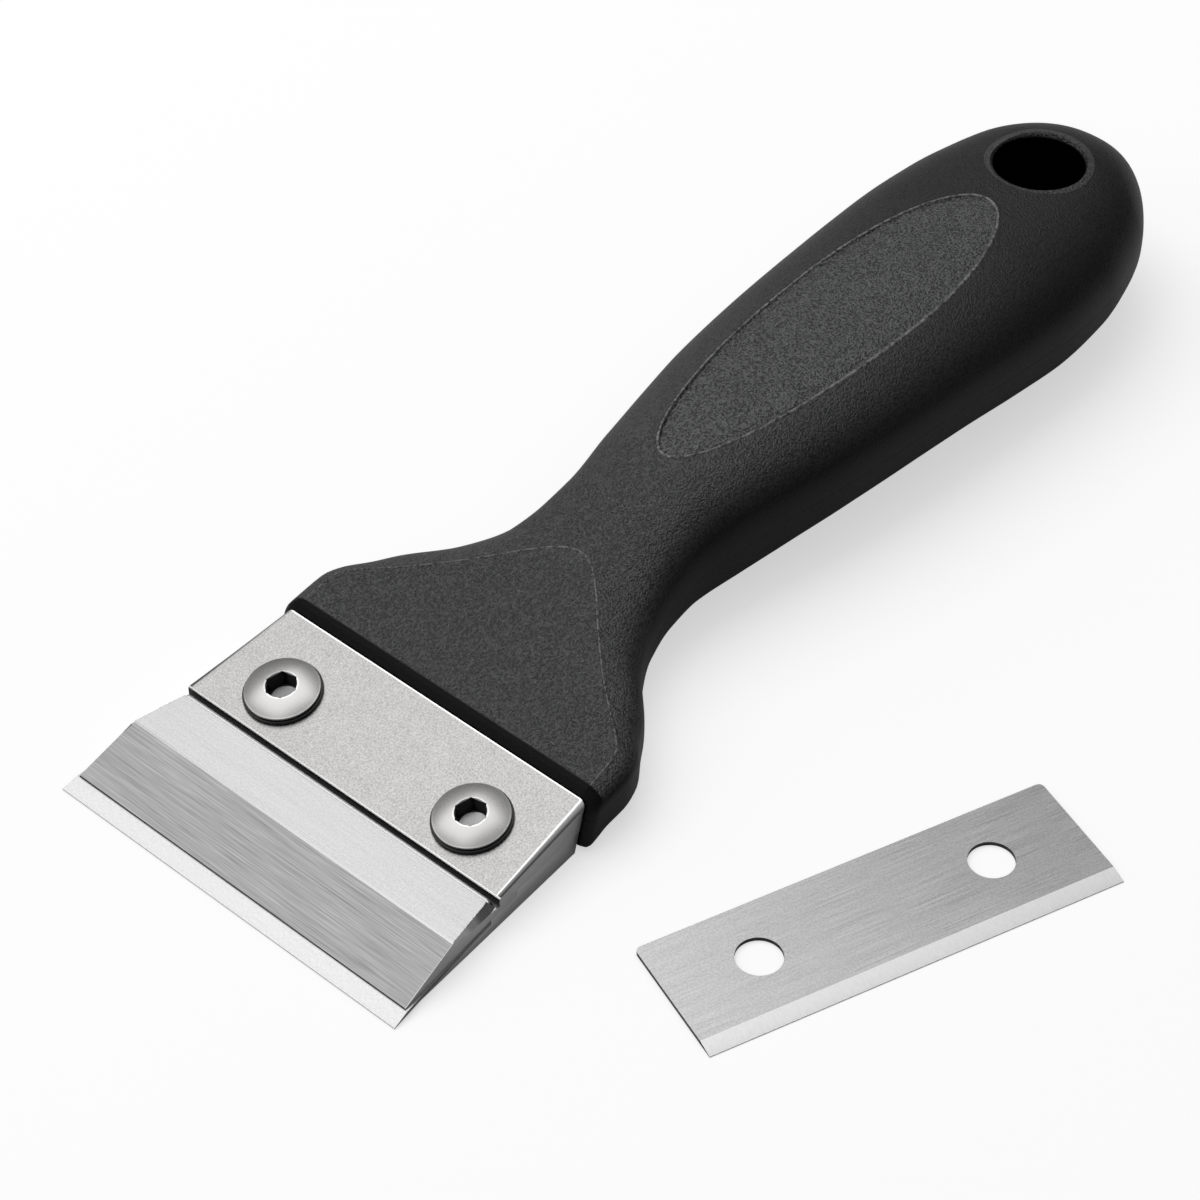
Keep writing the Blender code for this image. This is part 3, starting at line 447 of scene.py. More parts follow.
def ground_steel(name, dark, light, turn=0.0, region=None, upright=None):
    """Brushed steel; a region is the (line, dark, light, turn of its marks, roughness) ahead of a line; its
    shades are partly painted reflection.
    """
    made, tree, bsdf = new_material(name, Metallic=1.0)
    fine = streaks(tree, turn, STREAK_RUN, STREAK_WIDTH)
    wide = streaks(tree, turn, STREAK_RUN * 4, STREAK_WIDTH * 16, 2.0)
    speck = noise(tree, 3600.0, 1.0)
    tone = sums(tree, "ADD", contrast(tree, fine), contrast(tree, wide, -0.1, 0.1))
    tone = sums(tree, "ADD", tone, contrast(tree, speck, -0.3, 0.3))
    colour = mix(tree, tone, grey(dark), grey(light))
    height = fine
    rough = contrast(tree, fine, 0.25, 0.37)
    if region:
        line, low, high, marks, region_rough = region
        inside = ahead_of_line(tree, *line)
        cross = streaks(tree, marks, REGION_RUN, REGION_WIDTH, 2.0)
        # Region shades, lighter on the blades' bevels and darker on the jaw's slope: own ground marks, partly
        # painted reflection
        colour = mix(tree, inside, colour, shades(tree, cross, low, high))
        height = blend(tree, inside, fine, cross)
        rough = blend(tree, inside, rough, region_rough)
    # Darker upright faces of the blades: painted shade
    if upright:
        upright_faces(tree, bsdf, colour, rough, *upright)
    else:
        with_edges(tree, bsdf, colour, rough, 0.5)
    feed(bsdf, Normal=bump(tree, height, 0.18, 0.02 * MM))
    return made


def beaded_steel(name, dark, light, roughness):
    """Bead-blasted steel with a painted highlight along the clamp's back edge, where the clamp meets the
    collar.
    """
    made, tree, bsdf = new_material(name, Metallic=1.0)
    grain = noise(tree, 4400.0, 1.0)
    cloud = noise(tree, 300.0)
    tone = sums(tree, "ADD", contrast(tree, grain, 0.0, 0.9), contrast(tree, cloud, 0.0, 0.1))
    # Painted highlight: a band along the clamp's back edge, on faces that look up
    back = head_back(CLAMP_BACK[1]) - ORIGIN_AT - BACK_EDGE_HIGHLIGHT_WIDTH
    last = times(tree, sums(tree, "GREATER_THAN", axis_of(tree, place_of(tree), "X"), back), upward(tree))
    colour = mix(tree, tone, grey(dark, WARM), grey(light, WARM))
    with_edges(tree, bsdf, mix(tree, last, colour, grey(BACK_EDGE_HIGHLIGHT)),
               contrast(tree, grain, roughness - 0.05, roughness + 0.05), 0.27)
    feed(bsdf, Normal=bump(tree, grain, 0.22, 0.03 * MM))
    return made


def screw_axis_distance(tree):
    """Distance from the nearer clamp screw's axis, and height above the plane of the screw seats."""
    place = place_of(tree)
    x, y, z = (axis_of(tree, place, axis) for axis in "XYZ")
    rise = sums(tree, "SUBTRACT", z, SCREW_HEIGHT)
    c, s = math.cos(CLAMP_SLOPE), math.sin(CLAMP_SLOPE)
    across = sums(tree, "MULTIPLY_ADD", x, c, times(tree, rise, s))
    height = sums(tree, "MULTIPLY_ADD", rise, c, times(tree, x, -s))
    side = sums(tree, "SUBTRACT", sums(tree, "ABSOLUTE", y), SCREW_SIDE)
    distance = sums(tree, "SQRT", sums(tree, "MULTIPLY_ADD", across, across, times(tree, side, side)))
    return distance, height


def turned_steel(name, dark, light, roughness):
    """Satin steel of a screw head, with painted shadow on the walls of its socket and a painted highlight on
    its floor and its top ring.
    """
    made, tree, bsdf = new_material(name, Metallic=1.0)
    grain = noise(tree, 5200.0)
    cloud = noise(tree, 160.0, 1.0)
    tone = sums(tree, "ADD", contrast(tree, grain, 0.0, 0.5), contrast(tree, cloud, 0.0, 0.5))
    bright = mix(tree, tone, grey(dark, WARM), grey(light, WARM))
    distance, height = screw_axis_distance(tree)
    top = HEAD_SEAT + HEAD_HEIGHT
    wall = spread(tree, distance, SOCKET / 2 - 0.1 * MM, SOCKET / 2 - 0.02 * MM)
    in_socket = times(tree, wall, sums(tree, "LESS_THAN", distance, SOCKET / 2 + 0.36 * MM))
    deep = sums(tree, "LESS_THAN", height, top - 0.34 * MM)
    low = sums(tree, "LESS_THAN", height, top - SOCKET_DEPTH + 0.3 * MM)
    # Painted highlight on the socket's floor and top ring
    floor = times(tree, other(tree, wall), low)
    ring = times(tree, in_socket, other(tree, deep))
    lit = mix(tree, sums(tree, "MAXIMUM", floor, ring), bright, grey(SOCKET_HIGHLIGHT))
    # Painted shadow on the socket's walls
    feed(bsdf, Base_Color=mix(tree, times(tree, in_socket, deep), lit, grey(SOCKET_SHADOW)),
         Roughness=contrast(tree, grain, roughness - 0.03, roughness + 0.05),
         Normal=bump(tree, grain, 0.08, 0.01 * MM))
    return made


def dull_black(name, colour, roughness):
    """Blackened steel, with a faint cloudy finish."""
    made, tree, bsdf = new_material(name, Roughness=roughness)
    feed(bsdf, Base_Color=shades(tree, noise(tree, 900.0, 3.0), colour * 0.7, colour))
    return made


# Plastic
GRAIN = 0.54 * MM
GRAIN_DEPTH = 0.18 * MM
GRAIN_LOW, GRAIN_HIGH = 0.3, 0.72
# Grain and its lighter colour fade out towards the butt: smoother grain and painted shade
FADE_START_AT, FADE_END_AT, FADED = 85 * MM, 150 * MM, 0.25
PIT, PEAK, PAD_PEAK = grey(0.002, -0.01), grey(0.077, -0.015), grey(0.15, -0.015)
# Painted shadow on the lip's top and in the hanging hole; SIDE is the colour of the smooth sides
LIP_SHADOW, SIDE, HOLE_SHADOW = grey(0.002), grey(0.006), grey(0.002)
GLOSS, SIDE_GLOSS, LIP_GLOSS, BEAD_GLOSS = 0.9, 0.25, 0.3, 0.22
# The hanging hole's rim takes the lighter grain, partly a painted highlight
LIP_BLEND, RIM_BLEND, RIM_GRAIN_AND_HIGHLIGHT = 0.3 * MM, 0.15 * MM, 0.95


def leather(tree, size):
    """Height of a spark-eroded leather grain: winding ridges with finer bumps between them."""
    winding = noise(tree, 1 / size, 1.0, 0.5)
    middle = sums(tree, "ABSOLUTE", sums(tree, "SUBTRACT", winding, 0.5))
    ridge = spread(tree, middle, 0.0, 0.16, 1.0, 0.0)
    fine = contrast(tree, noise(tree, 1.9 / size))
    return sums(tree, "MULTIPLY_ADD", ridge, 0.4, times(tree, fine, 0.6))


def bead_highlight():
    """Painted highlight: a lighter colour on the thin beads round the panel and the oval."""
    made, tree, bsdf = new_material("bead_highlight", Specular_IOR_Level=BEAD_GLOSS, Roughness=0.5)
    cloud = spread(tree, noise(tree, 1700.0), 0.35, 0.65)
    feed(bsdf, Base_Color=mix(tree, cloud, grey(0.06), grey(0.32)))
    return made


def round_hole(tree, x, y):
    """Factors that are 0 inside the hanging hole, and 1 inside the outer line of its rim."""
    level = add(tree, "ShaderNodeCombineXYZ", {0: x, 1: y}).outputs[0]
    away = vector_sums(tree, "DISTANCE", level, (HOLE_AT - ORIGIN_AT, 0.0, 0.0), "Value")
    radius = HOLE_WIDTH / 2
    outside = spread(tree, away, radius + 0.02 * MM, radius + 0.12 * MM)
    rim = spread(tree, away, radius + HOLE_RIM - RIM_BLEND, radius + HOLE_RIM, 1.0, 0.0)
    return outside, rim


def handle_plastic():
    """Black plastic: grain where it faces up, lighter there as partly painted light; smoother on its sides,
    on the lip and towards the butt, and darker there as partly painted shade; painted shadow on the lip's top
    and in the hanging hole; grain on the hole's rim, lighter as partly a painted highlight.
    """
    made, tree, bsdf = new_material("handle_plastic")
    grain = leather(tree, GRAIN)
    place = place_of(tree)
    x, y = axis_of(tree, place, "X"), axis_of(tree, place, "Y")
    lip_end = COLLAR_AT + COLLAR_LIP - ORIGIN_AT
    behind_lip = spread(tree, x, lip_end - LIP_BLEND, lip_end)
    # Painted shadow on the top of the collar's lip
    lip_top = times(tree, other(tree, behind_lip), upward(tree))
    outside_hole, rim = round_hole(tree, x, y)
    # Towards the butt: smoother grain and darker, painted shade
    fade = spread(tree, x, FADE_START_AT - ORIGIN_AT, FADE_END_AT - ORIGIN_AT, 1.0, FADED)
    # Grain and lighter colour where the surface faces up, partly painted light, and on the hole's rim, partly
    # a painted highlight
    grain_and_light = sums(tree, "MAXIMUM", times(tree, upward(tree), fade), times(tree, rim, RIM_GRAIN_AND_HIGHLIGHT))
    amount = times(tree, grain_and_light, behind_lip)
    tone = times(tree, spread(tree, grain, GRAIN_LOW, GRAIN_HIGH), amount)
    # Lighter grain colour where the surface faces up: partly painted light
    colour = mix(tree, tone, mix(tree, amount, SIDE, PIT), PEAK)
    # Painted shadow in the hanging hole, near black and, below, without gloss; painted shadow on the lip's
    # top
    colour = mix(tree, outside_hole, HOLE_SHADOW, mix(tree, lip_top, colour, LIP_SHADOW))
    gloss = spread(tree, amount, 0.0, 1.0, SIDE_GLOSS, GLOSS)
    gloss = times(tree, gloss, spread(tree, lip_top, 0.0, 1.0, 1.0, LIP_GLOSS))
    depth = times(tree, grain, spread(tree, amount, 0.0, 1.0, 0.2, 1.0))
    feed(bsdf, Base_Color=colour, Roughness=spread(tree, amount, 0.0, 1.0, 0.36, 0.33),
         Specular_IOR_Level=times(tree, gloss, outside_hole), Normal=bump(tree, depth, 1.0, GRAIN_DEPTH))
    return made


def pad_rubber():
    """Softer grained oval, a shade lighter than the handle."""
    made, tree, bsdf = new_material("pad_grain", Specular_IOR_Level=GLOSS, Roughness=0.34)
    grain = leather(tree, GRAIN)
    colour = mix(tree, spread(tree, grain, GRAIN_LOW, GRAIN_HIGH), PIT, PAD_PEAK)
    feed(bsdf, Base_Color=colour, Normal=bump(tree, grain, 1.0, GRAIN_DEPTH))
    return made


def all_materials():
    """Materials by slot, and by node for the pieces that are ground in two ways."""
    # Upright faces of the blades are darker as painted shade; the bevels are lighter and the jaw's slope
    # darker, partly painted reflection
    bevel_line = ((0, 0), 0, BLADE_BEVEL * math.cos(BLADE_SEAT) - ORIGIN_AT)
    spare_line = (SPARE_PLACE, SPARE_TURN, BLADE_BEVEL - BLADE_DEPTH / 2)
    slope_line = ((0, 0), 0, NOSE_FRONT_AT - ORIGIN_AT)
    return {
        "blade": ground_steel("ground_blade", 0.4, 0.52, upright=(0.22, 0.32),
                              region=(bevel_line, 0.5, 0.66, math.pi / 2, 0.34)),
        "spare_blade": ground_steel("ground_spare_blade", 0.4, 0.6, SPARE_TURN, upright=(0.06, 0.12),
                                    region=(spare_line, 0.9, 1.0, SPARE_TURN + math.pi / 2, 0.55)),
        "front_jaw": ground_steel("ground_jaw", 0.46, 0.63, region=(slope_line, 0.2, 0.38, 0.0, 0.32)),
        "beaded_steel": beaded_steel("beaded_head", 0.3, 0.6, 0.4),
        "screw_steel": turned_steel("turned_screw", 0.5, 0.57, 0.3),
        "jaw_steel": ground_steel("cut_steel", 0.45, 0.55),
        "dark_steel": dull_black("blackened_steel", 0.008, 0.4),
        "handle_plastic": handle_plastic(),
        "pad_rubber": pad_rubber(),
        # Painted highlight along the beads round the panel and the oval
        "bead": bead_highlight(),
    }


# CAD nodes that stay
def smooth_group():
    """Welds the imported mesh, drops its flat normals and shades it smooth below an angle."""
    group = bpy.data.node_groups.new("smooth_cad", "GeometryNodeTree")
    for way in ("INPUT", "OUTPUT"):
        group.interface.new_socket("Geometry", in_out=way, socket_type="NodeSocketGeometry")
    start, end = add(group, "NodeGroupInput"), add(group, "NodeGroupOutput")
    merged = add(group, "GeometryNodeMergeByDistance", {"Geometry": start.outputs[0], "Distance": WELD})
    bare = add(group, "GeometryNodeRemoveAttribute", {"Geometry": merged.outputs[0], "Name": "custom_normal"})
    faces = add(group, "GeometryNodeSetShadeSmooth", {"Geometry": bare.outputs[0], "Shade Smooth": True},
                domain="FACE")
    turn = add(group, "GeometryNodeInputMeshEdgeAngle")
    sharp = add(group, "FunctionNodeCompare", {0: turn.outputs[0], 1: CAD_ANGLE}, operation="GREATER_THAN")
    inputs = {"Geometry": faces.outputs[0], "Selection": sharp.outputs[0], "Shade Smooth": False}
    edges = add(group, "GeometryNodeSetShadeSmooth", inputs, domain="EDGE")
    group.links.new(edges.outputs[0], end.inputs[0])
    return group


def round_edges(obj, width):
    modify(obj, "weld", "WELD", merge_threshold=WELD)
    modify(obj, "flat", "DECIMATE", decimate_type="DISSOLVE", angle_limit=FLAT_ANGLE)
    modify(obj, "edge", "BEVEL", width=width, segments=3, limit_method="ANGLE", angle_limit=CAD_ANGLE,
           miter_outer="MITER_ARC")


def dress_cad():
    slots = {row["node"]: row["material_slot"] for row in frame["record"]["subparts"]}
    group = smooth_group()
    for name, obj in frame["nodes"].items():
        obj.material_slots[0].material = MATERIALS.get(name) or MATERIALS[slots[name]]
        if name == "carrier":
            round_edges(obj, CARRIER_EDGE)
        modify(obj, "smooth", "NODES", node_group=group)


# Head
def blade_place():
    return Matrix.Translation((-ORIGIN_AT, 0, EDGE_LIFT)) @ Matrix.Rotation(-BLADE_SEAT, 4, "Y")


def screw_place(side):
    return Matrix.Translation((0, side * SCREW_SIDE, SCREW_HEIGHT)) @ Matrix.Rotation(-CLAMP_SLOPE, 4, "Y")


def head_half_width(x):
    return HEAD_HALF_WIDTH - (x - BLADE_BEVEL * math.cos(BLADE_SEAT)) * math.tan(HEAD_TAPER)


def head_back(z):
    return HEAD_LENGTH + COLLAR_LEAN * (z - COLLAR_HEIGHT)


def blade_top(x):
    return EDGE_LIFT + x * math.tan(BLADE_SEAT) + BLADE_THICKNESS / math.cos(BLADE_SEAT)


def prism(profile):
    """Solid across the head from an (x, z) outline."""
    return loft([[(x - ORIGIN_AT, side * head_half_width(x), z) for x, z in profile] for side in (-1, 1)])


def round_ends(bm, width, steps, chosen):
    """Rounds the end edges of a prism whose two points are both chosen by (x, z)."""
    edges = [e for e in bm.edges if e.verts[0].co.y * e.verts[1].co.y > 0
             and all(chosen(v.co.x + ORIGIN_AT, v.co.z) for v in e.verts)]
    bmesh.ops.bevel(bm, geom=edges, offset=width, segments=steps, profile=0.5, affect="EDGES")


def blade_bores(depth, place=Matrix()):
    """Cutters for the two holes of a blade, or for the pins that pass through them."""
    return [bore("hole", BLADE_HOLE / 2, -MM, depth, place @ Matrix.Translation((BLADE_HOLE_AT, side, 0)))
            for side in (SCREW_SIDE, -SCREW_SIDE)]


def blade_solid(name, back, back_half, corner):
    """Blade with its cutting edge on Y and its flat side down; its sides run straight to the back."""
    edge_half = BLADE_LENGTH / 2
    profile = [(0, 0), (0, EDGE_LAND), (BLADE_BEVEL, BLADE_THICKNESS), (back, BLADE_THICKNESS), (back, 0)]
    rows = []
    for side in (-1, 1):
        rows.append([(x, side * (edge_half + (back_half - edge_half) * x / back), z) for x, z in profile])
    bm = loft(rows)
    corners = [e for e in bm.edges if all(v.co.x > back - GAP for v in e.verts)
               and e.verts[0].co.z != e.verts[1].co.z]
    bmesh.ops.bevel(bm, geom=corners, offset=corner, segments=5, profile=0.5, affect="EDGES")
    blade = new_object(bm, name + "_ground", name)
    cut(blade, *blade_bores(2 * MM))
    smooth(blade, 14, True)
    return blade


def make_blades():
    """The clamped blade draws in with the head's sides, as in the photo; the spare one is a rectangle."""
    blade = blade_solid("blade", BLADE_BACK_AT, head_half_width(BLADE_BACK_AT), BLADE_CORNER)
    blade.data.transform(blade_place())
    replace_node(blade, "blade", "tool")
    spare = blade_solid("spare_blade", BLADE_DEPTH, BLADE_LENGTH / 2, SPARE_CORNER)
    spare.data.transform(Matrix.Translation((*SPARE_PLACE, 0)) @ Matrix.Rotation(SPARE_TURN, 4, "Z")
                         @ Matrix.Translation((-BLADE_DEPTH / 2, 0, 0)))
    replace_node(spare, "spare_blade", "spare")


def end_wedge(side):
    """Wedge that takes down the nose's end, from nothing at its front, and rounds its back corner."""
    front, back = NOSE_FRONT_AT - 0.4 * MM, NOSE_BACK_AT + NOSE_ROUND + 0.3 * MM
    foot, top = CARRIER_HEIGHT + 0.3 * MM, NOSE_HEIGHT + 3 * MM
    shift = NOSE_CHAMFER * (top - foot) / (NOSE_HEIGHT - foot)
    turn_in = [0.0, 0.0, 0.06, 0.18, 0.38, 0.72, 1.3]
    start = back - 2.2 * MM
    places = [(front + (start - front) * i / 10, 0.0) for i in range(10)]
    places += [(start + (back - start) * i / 6, depth * MM) for i, depth in enumerate(turn_in)]
    far = HEAD_HALF_WIDTH + 4 * MM
    rows = []
    for x, depth in places:
        share = (x - front) / (back - front)
        half = head_half_width(x)
        low, high = half + SLIT - depth * 0.3, half - shift * share - depth
        corners = ((low, foot), (high, top), (far, top), (far, foot))
        rows.append([(x - ORIGIN_AT, side * y, z) for y, z in corners])
    return new_object(loft(rows), "end_wedge")


def make_jaw():
    """Front jaw: a ground slope, a flat nose with a V and a bead at its back, and a lip under the clamp."""
    front = BLADE_BEVEL * math.cos(BLADE_SEAT) + JAW_CLEARANCE
    back = BLADE_DEPTH * math.cos(BLADE_SEAT)
    dip_at, bead_at, bead_round = NOSE_BACK_AT + 0.4 * MM, NOSE_BACK_AT + 0.6 * MM, 0.3 * MM
    bead_top = NOSE_HEIGHT - 0.05 * MM
    profile = [(front, blade_top(front) + SLIT), (front, blade_top(front) + 0.3 * MM),
               (NOSE_FRONT_AT, NOSE_HEIGHT - NOSE_STEP), (NOSE_FRONT_AT + NOSE_STEP, NOSE_HEIGHT),
               (NOSE_BACK_AT + 0.15 * MM, NOSE_HEIGHT), (dip_at, NOSE_HEIGHT - 0.28 * MM),
               (bead_at, bead_top),
               *arc((bead_at, bead_top - bead_round), bead_round, 90, 0, 6),
               (NOSE_BACK_AT + NOSE_ROUND, CARRIER_HEIGHT), (LIP_END_AT, CARRIER_HEIGHT),
               (LIP_END_AT, blade_top(back) + SLIT), (back, blade_top(back) + SLIT)]

    def on_slope(x, z):
        return x < NOSE_FRONT_AT + 0.01 * MM and z > blade_top(x) + 0.2 * MM

    bm = prism(profile)
    round_ends(bm, 0.2 * MM, 6, on_slope)
    jaw = new_object(bm, "front_jaw_ground", "front_jaw")
    cut(jaw, *blade_bores(PIN_DEPTH, blade_place()), end_wedge(1), end_wedge(-1))
    smooth(jaw, 20, True)
    replace_node(jaw, "front_jaw", "jaw")


def make_clamp():
    """Clamp block with a rounded front edge and rounded shoulders."""
    bottom, front_round = CARRIER_HEIGHT + SLIT, 0.3 * MM
    start = (CLAMP_FRONT[0] + front_round, CLAMP_FRONT[1] - front_round)
    profile = [(CLAMP_FRONT[0], bottom), *arc(start, front_round, 180, 99, 6),
               (head_back(CLAMP_BACK[1]), CLAMP_BACK[1]), (head_back(bottom), bottom)]

    def on_top(x, z):
        return x > CLAMP_FRONT[0] + 0.1 * MM and z > CLAMP_FRONT[1] - 0.02 * MM

    bm = prism(profile)
    round_ends(bm, 1.0 * MM, 8, on_top)
    clamp = new_object(bm, "clamp_block_beaded", "beaded_steel")
    cut(clamp, *(bore("hole", SCREW_SHANK / 2 + GAP, -9 * MM, 3 * MM, screw_place(side)) for side in (1, -1)))
    smooth(clamp, 20, True)
    replace_node(clamp, "clamp_block", "clamp")


# Handle
def shares(start, end, steps):
    """Stations between two others, by their share of the way and of the change."""
    return [(start[0] + u * (end[0] - start[0]), start[1] + v * (end[1] - start[1])) for u, v in steps]


def panel_height(x):
    return PANEL_HEIGHT + (x - COLLAR_AT - COLLAR_LIP) * math.tan(PANEL_SLOPE)


def width_stations():
    collar, neck = (COLLAR_AT, COLLAR_HALF_WIDTH), (NECK_AT, NECK_HALF_WIDTH)
    grip, butt = (GRIP_AT, GRIP_HALF_WIDTH), (HANDLE_END_AT, BUTT_HALF_WIDTH)
    flare = [(0.16, 0.01), (0.23, 0.06), (0.32, 0.22), (0.4, 0.35), (0.55, 0.68), (0.71, 0.89), (0.87, 0.983)]
    swell = [(0.12, 0.15), (0.25, 0.36), (0.38, 0.56), (0.56, 0.74), (0.73, 0.86), (0.89, 0.96)]
    taper = [(0.28, 0.08), (0.51, 0.3), (0.76, 0.69)]
    return [collar, *shares(collar, neck, flare), neck, *shares(neck, grip, swell), grip,
            *shares(grip, butt, taper), butt]


def top_stations():
    apex, neck = (PANEL_APEX_AT, panel_height(PANEL_APEX_AT)), (NECK_AT, NECK_TOP)
    grip, butt = (GRIP_AT, GRIP_TOP), (HANDLE_END_AT, BUTT_TOP)
    swell = [(0.12, 0.47), (0.25, 0.67), (0.38, 0.81), (0.56, 0.91), (0.73, 0.965)]
    fall = [(0.28, 0.1), (0.51, 0.28), (0.76, 0.58)]
    return [apex, *shares(apex, neck, [(0.5, 0.52)]), neck, *shares(neck, grip, swell), grip,
            *shares(grip, butt, fall), butt]


def bottom_stations():
    neck, grip, butt = (NECK_AT, 0), (GRIP_AT, 0), (HANDLE_END_AT, BUTT_LIFT)
    hollow = (NECK_AT + 0.56 * (GRIP_AT - NECK_AT), GRIP_HOLLOW)
    rise = [(-0.3, 0), (0, 0.15), (0.22, 0.25), (0.5, 0.65), (0.75, 0.95)]
    fall, lift = [(0.3, 0.15), (0.7, 0.68)], [(0.28, 0.12), (0.51, 0.4), (0.76, 0.75)]
    return [(COLLAR_AT, 0), *shares(neck, hollow, rise), hollow, *shares(hollow, grip, fall), grip,
            *shares(grip, butt, lift), butt]


def power_stations():
    """Roundness of the section above and below: 2 is an ellipse, and more is squarer."""
    collar, neck = (COLLAR_AT, 3.3), (NECK_AT, 2.3)
    upper = [collar, *shares(collar, neck, [(0.32, 0.3), (0.63, 0.8)]), neck]
    neck = (NECK_AT, 2.5)
    lower = [(COLLAR_AT, 18.0), (COLLAR_AT + 4 * MM, 6.6),
             *shares((COLLAR_AT, 7.0), neck, [(0.37, 0.44), (0.68, 0.89)]), neck]
    return upper, lower


WIDTHS, TOPS, BOTTOMS, POWERS = width_stations(), top_stations(), bottom_stations(), power_stations()
PANEL_OUTLINE = [(x * MM, y * MM) for x, y in (
    (39, 25.7), (41, 25.6), (44, 25.4), (45.9, 25.0), (47.1, 24.0), (50.2, 20.1), (53.5, 16.1), (56.6, 12.7),
    (60, 9.25), (62.65, 6.7), (64.4, 4.8), (65.6, 3.3), (66.3, 2.1), (66.7, 1.0), (66.8, 0.0))]


def crown_height(x, bottom, power):
    """Crown of the section; in front of the apex it is the one that meets the panel on its outline."""
    if x >= PANEL_END_AT:
        return along(TOPS, x)
    share = (along(PANEL_OUTLINE, x) / along(WIDTHS, x)) ** power
    k = (1 - share) ** (1 / power)
    return (2 * panel_height(x) - bottom * (1 - k)) / (1 + k)


def section(x, inset=0.0):
    """Half width, half height, middle height, and the powers above and below, of the section at x."""
    up, down = along(POWERS[0], x), along(POWERS[1], x)
    bottom = along(BOTTOMS, x)
    top = crown_height(x, bottom, up)
    start = HANDLE_END_AT - BUTT_ROUND
    shrink = math.sqrt(max(0.0, 1 - (max(0.0, x - start) / BUTT_ROUND) ** 2))
    half = (top - bottom) / 2
    return along(WIDTHS, x) * shrink - inset, half * shrink - inset, (top + bottom) / 2, up, down


def outside_height(x, y, upper=True):
    width, half, middle, *powers = section(x)
    power = powers[0 if upper else 1]
    share = max(0.0, 1 - (abs(y) / width) ** power) ** (1 / power)
    return middle + (half * share if upper else -half * share)


def lean(x, z):
    """How far back the collar's lean moves a point; it fades out a third of the way to the neck."""
    fade = min(1.0, max(0.0, (x - COLLAR_AT) / (NECK_AT - COLLAR_AT) * 3))
    return COLLAR_LEAN * (1 - fade * fade * (3 - 2 * fade)) * (z - COLLAR_HEIGHT)


def outline_tree():
    """Points along the panel's outline, to measure the distance to it."""
    length = PANEL_END_AT - COLLAR_AT
    places = [COLLAR_AT + length * (1 - (1 - i / OUTLINE_STEPS) ** 2) for i in range(OUTLINE_STEPS + 1)]
    tree = KDTree(len(places))
    for i, x in enumerate(places):
        tree.insert((x, along(PANEL_OUTLINE, x), 0), i)
    tree.balance()
    return tree


OUTLINE = outline_tree()


def panelled(x, y, z, inset):
    """Height held under the flat panel, with a thin bead along the panel's outline."""
    if x > PANEL_END_AT + MM:
        return z
    if x < PANEL_END_AT and abs(y) < along(PANEL_OUTLINE, x):
        z = min(z, panel_height(x) - inset)
    away = OUTLINE.find((x, abs(y), 0))[2]
    if away < BEAD_WIDTH / 2 and x > COLLAR_AT + COLLAR_LIP:
        z += BEAD_HEIGHT * (0.5 + 0.5 * math.cos(2 * math.pi * away / BEAD_WIDTH))
    return z


def top_columns(x, width, power):
    """Distances from the middle plane of the columns of the upper side: finer beside the panel's outline."""
    edge = max(along(PANEL_OUTLINE, x) if x < PANEL_END_AT else 0.0, 3.4 * MM)
    edge = min(edge, width * 0.93)
    near = min(0.22 * MM, edge * 0.4)
    outer, inner = edge + near, edge - near
    last = math.atan2((1 - min(1.0, outer / width) ** power) ** (1 / power), outer / width)
    columns = []
    for i in range(SIDE_STEPS):
        c, s = math.cos(last * i / SIDE_STEPS), math.sin(last * i / SIDE_STEPS)
        columns.append(width * c / (c**power + s**power) ** (1 / power))
    columns += [outer + (inner - outer) * i / EDGE_STEPS for i in range(EDGE_STEPS)]
    columns += [inner * (1 - i / FLAT_STEPS) for i in range(FLAT_STEPS + 1)]
    return columns


def upper_points(x, inset):
    """Upper half of a section, from +Y over the crown to -Y, open at the parting line."""
    width, half, middle, power, _ = section(x, inset)
    columns = top_columns(x, width, power)
    points = []
    for y in columns + [-y for y in reversed(columns[:-1])]:
        z = middle + SLIT + (half - SLIT) * max(0.0, 1 - (abs(y) / width) ** power) ** (1 / power)
        z = max(panelled(x, y, z, inset), middle + SLIT)
        points.append(Vector((x + lean(x, z) - ORIGIN_AT, y, z)))
    return points


def section_points(x, upper, count, inset, split=0.0):
    """Half of a section at even angles, from +Y over the crown or the bottom to -Y."""
    width, half, middle, up, down = section(x, inset)
    power, sign = (up, 1) if upper else (down, -1)
    points = []
    for i in range(count + 1):
        angle = math.pi * i / count
        c, s = math.cos(angle), math.sin(angle)
        reach = 1 / (abs(c) ** power + abs(s) ** power) ** (1 / power)
        z = middle + sign * (split + (half - split) * reach * s)
        points.append(Vector((x + lean(x, z) - ORIGIN_AT, width * reach * c, z)))
    return points


def shell_stations():
    """Places of the sections and the inset that rounds the lip: finer at the lip, the apex and the butt."""
    turns = [math.pi / 2 * i / LIP_STEPS for i in range(LIP_STEPS)]
    found = []
    for a in turns:
        found.append((COLLAR_AT + COLLAR_LIP * (1 - math.cos(a)) * 0.9, COLLAR_LIP * (1 - math.sin(a))))
    start, fine, coarse = COLLAR_AT + COLLAR_LIP, PANEL_END_AT - 3 * MM, PANEL_END_AT + 0.6 * MM
    end = HANDLE_END_AT - BUTT_ROUND
    for first, last, pitch in ((start, fine, PITCH), (fine, coarse, FINE_PITCH), (coarse, end, PITCH)):
        count = round((last - first) / pitch)
        found += [(first + (last - first) * i / count, 0.0) for i in range(count)]
    turns = [math.radians(88.5 * i / BUTT_STEPS) for i in range(BUTT_STEPS + 1)]
    return found + [(end + BUTT_ROUND * math.sin(a), 0.0) for a in turns]


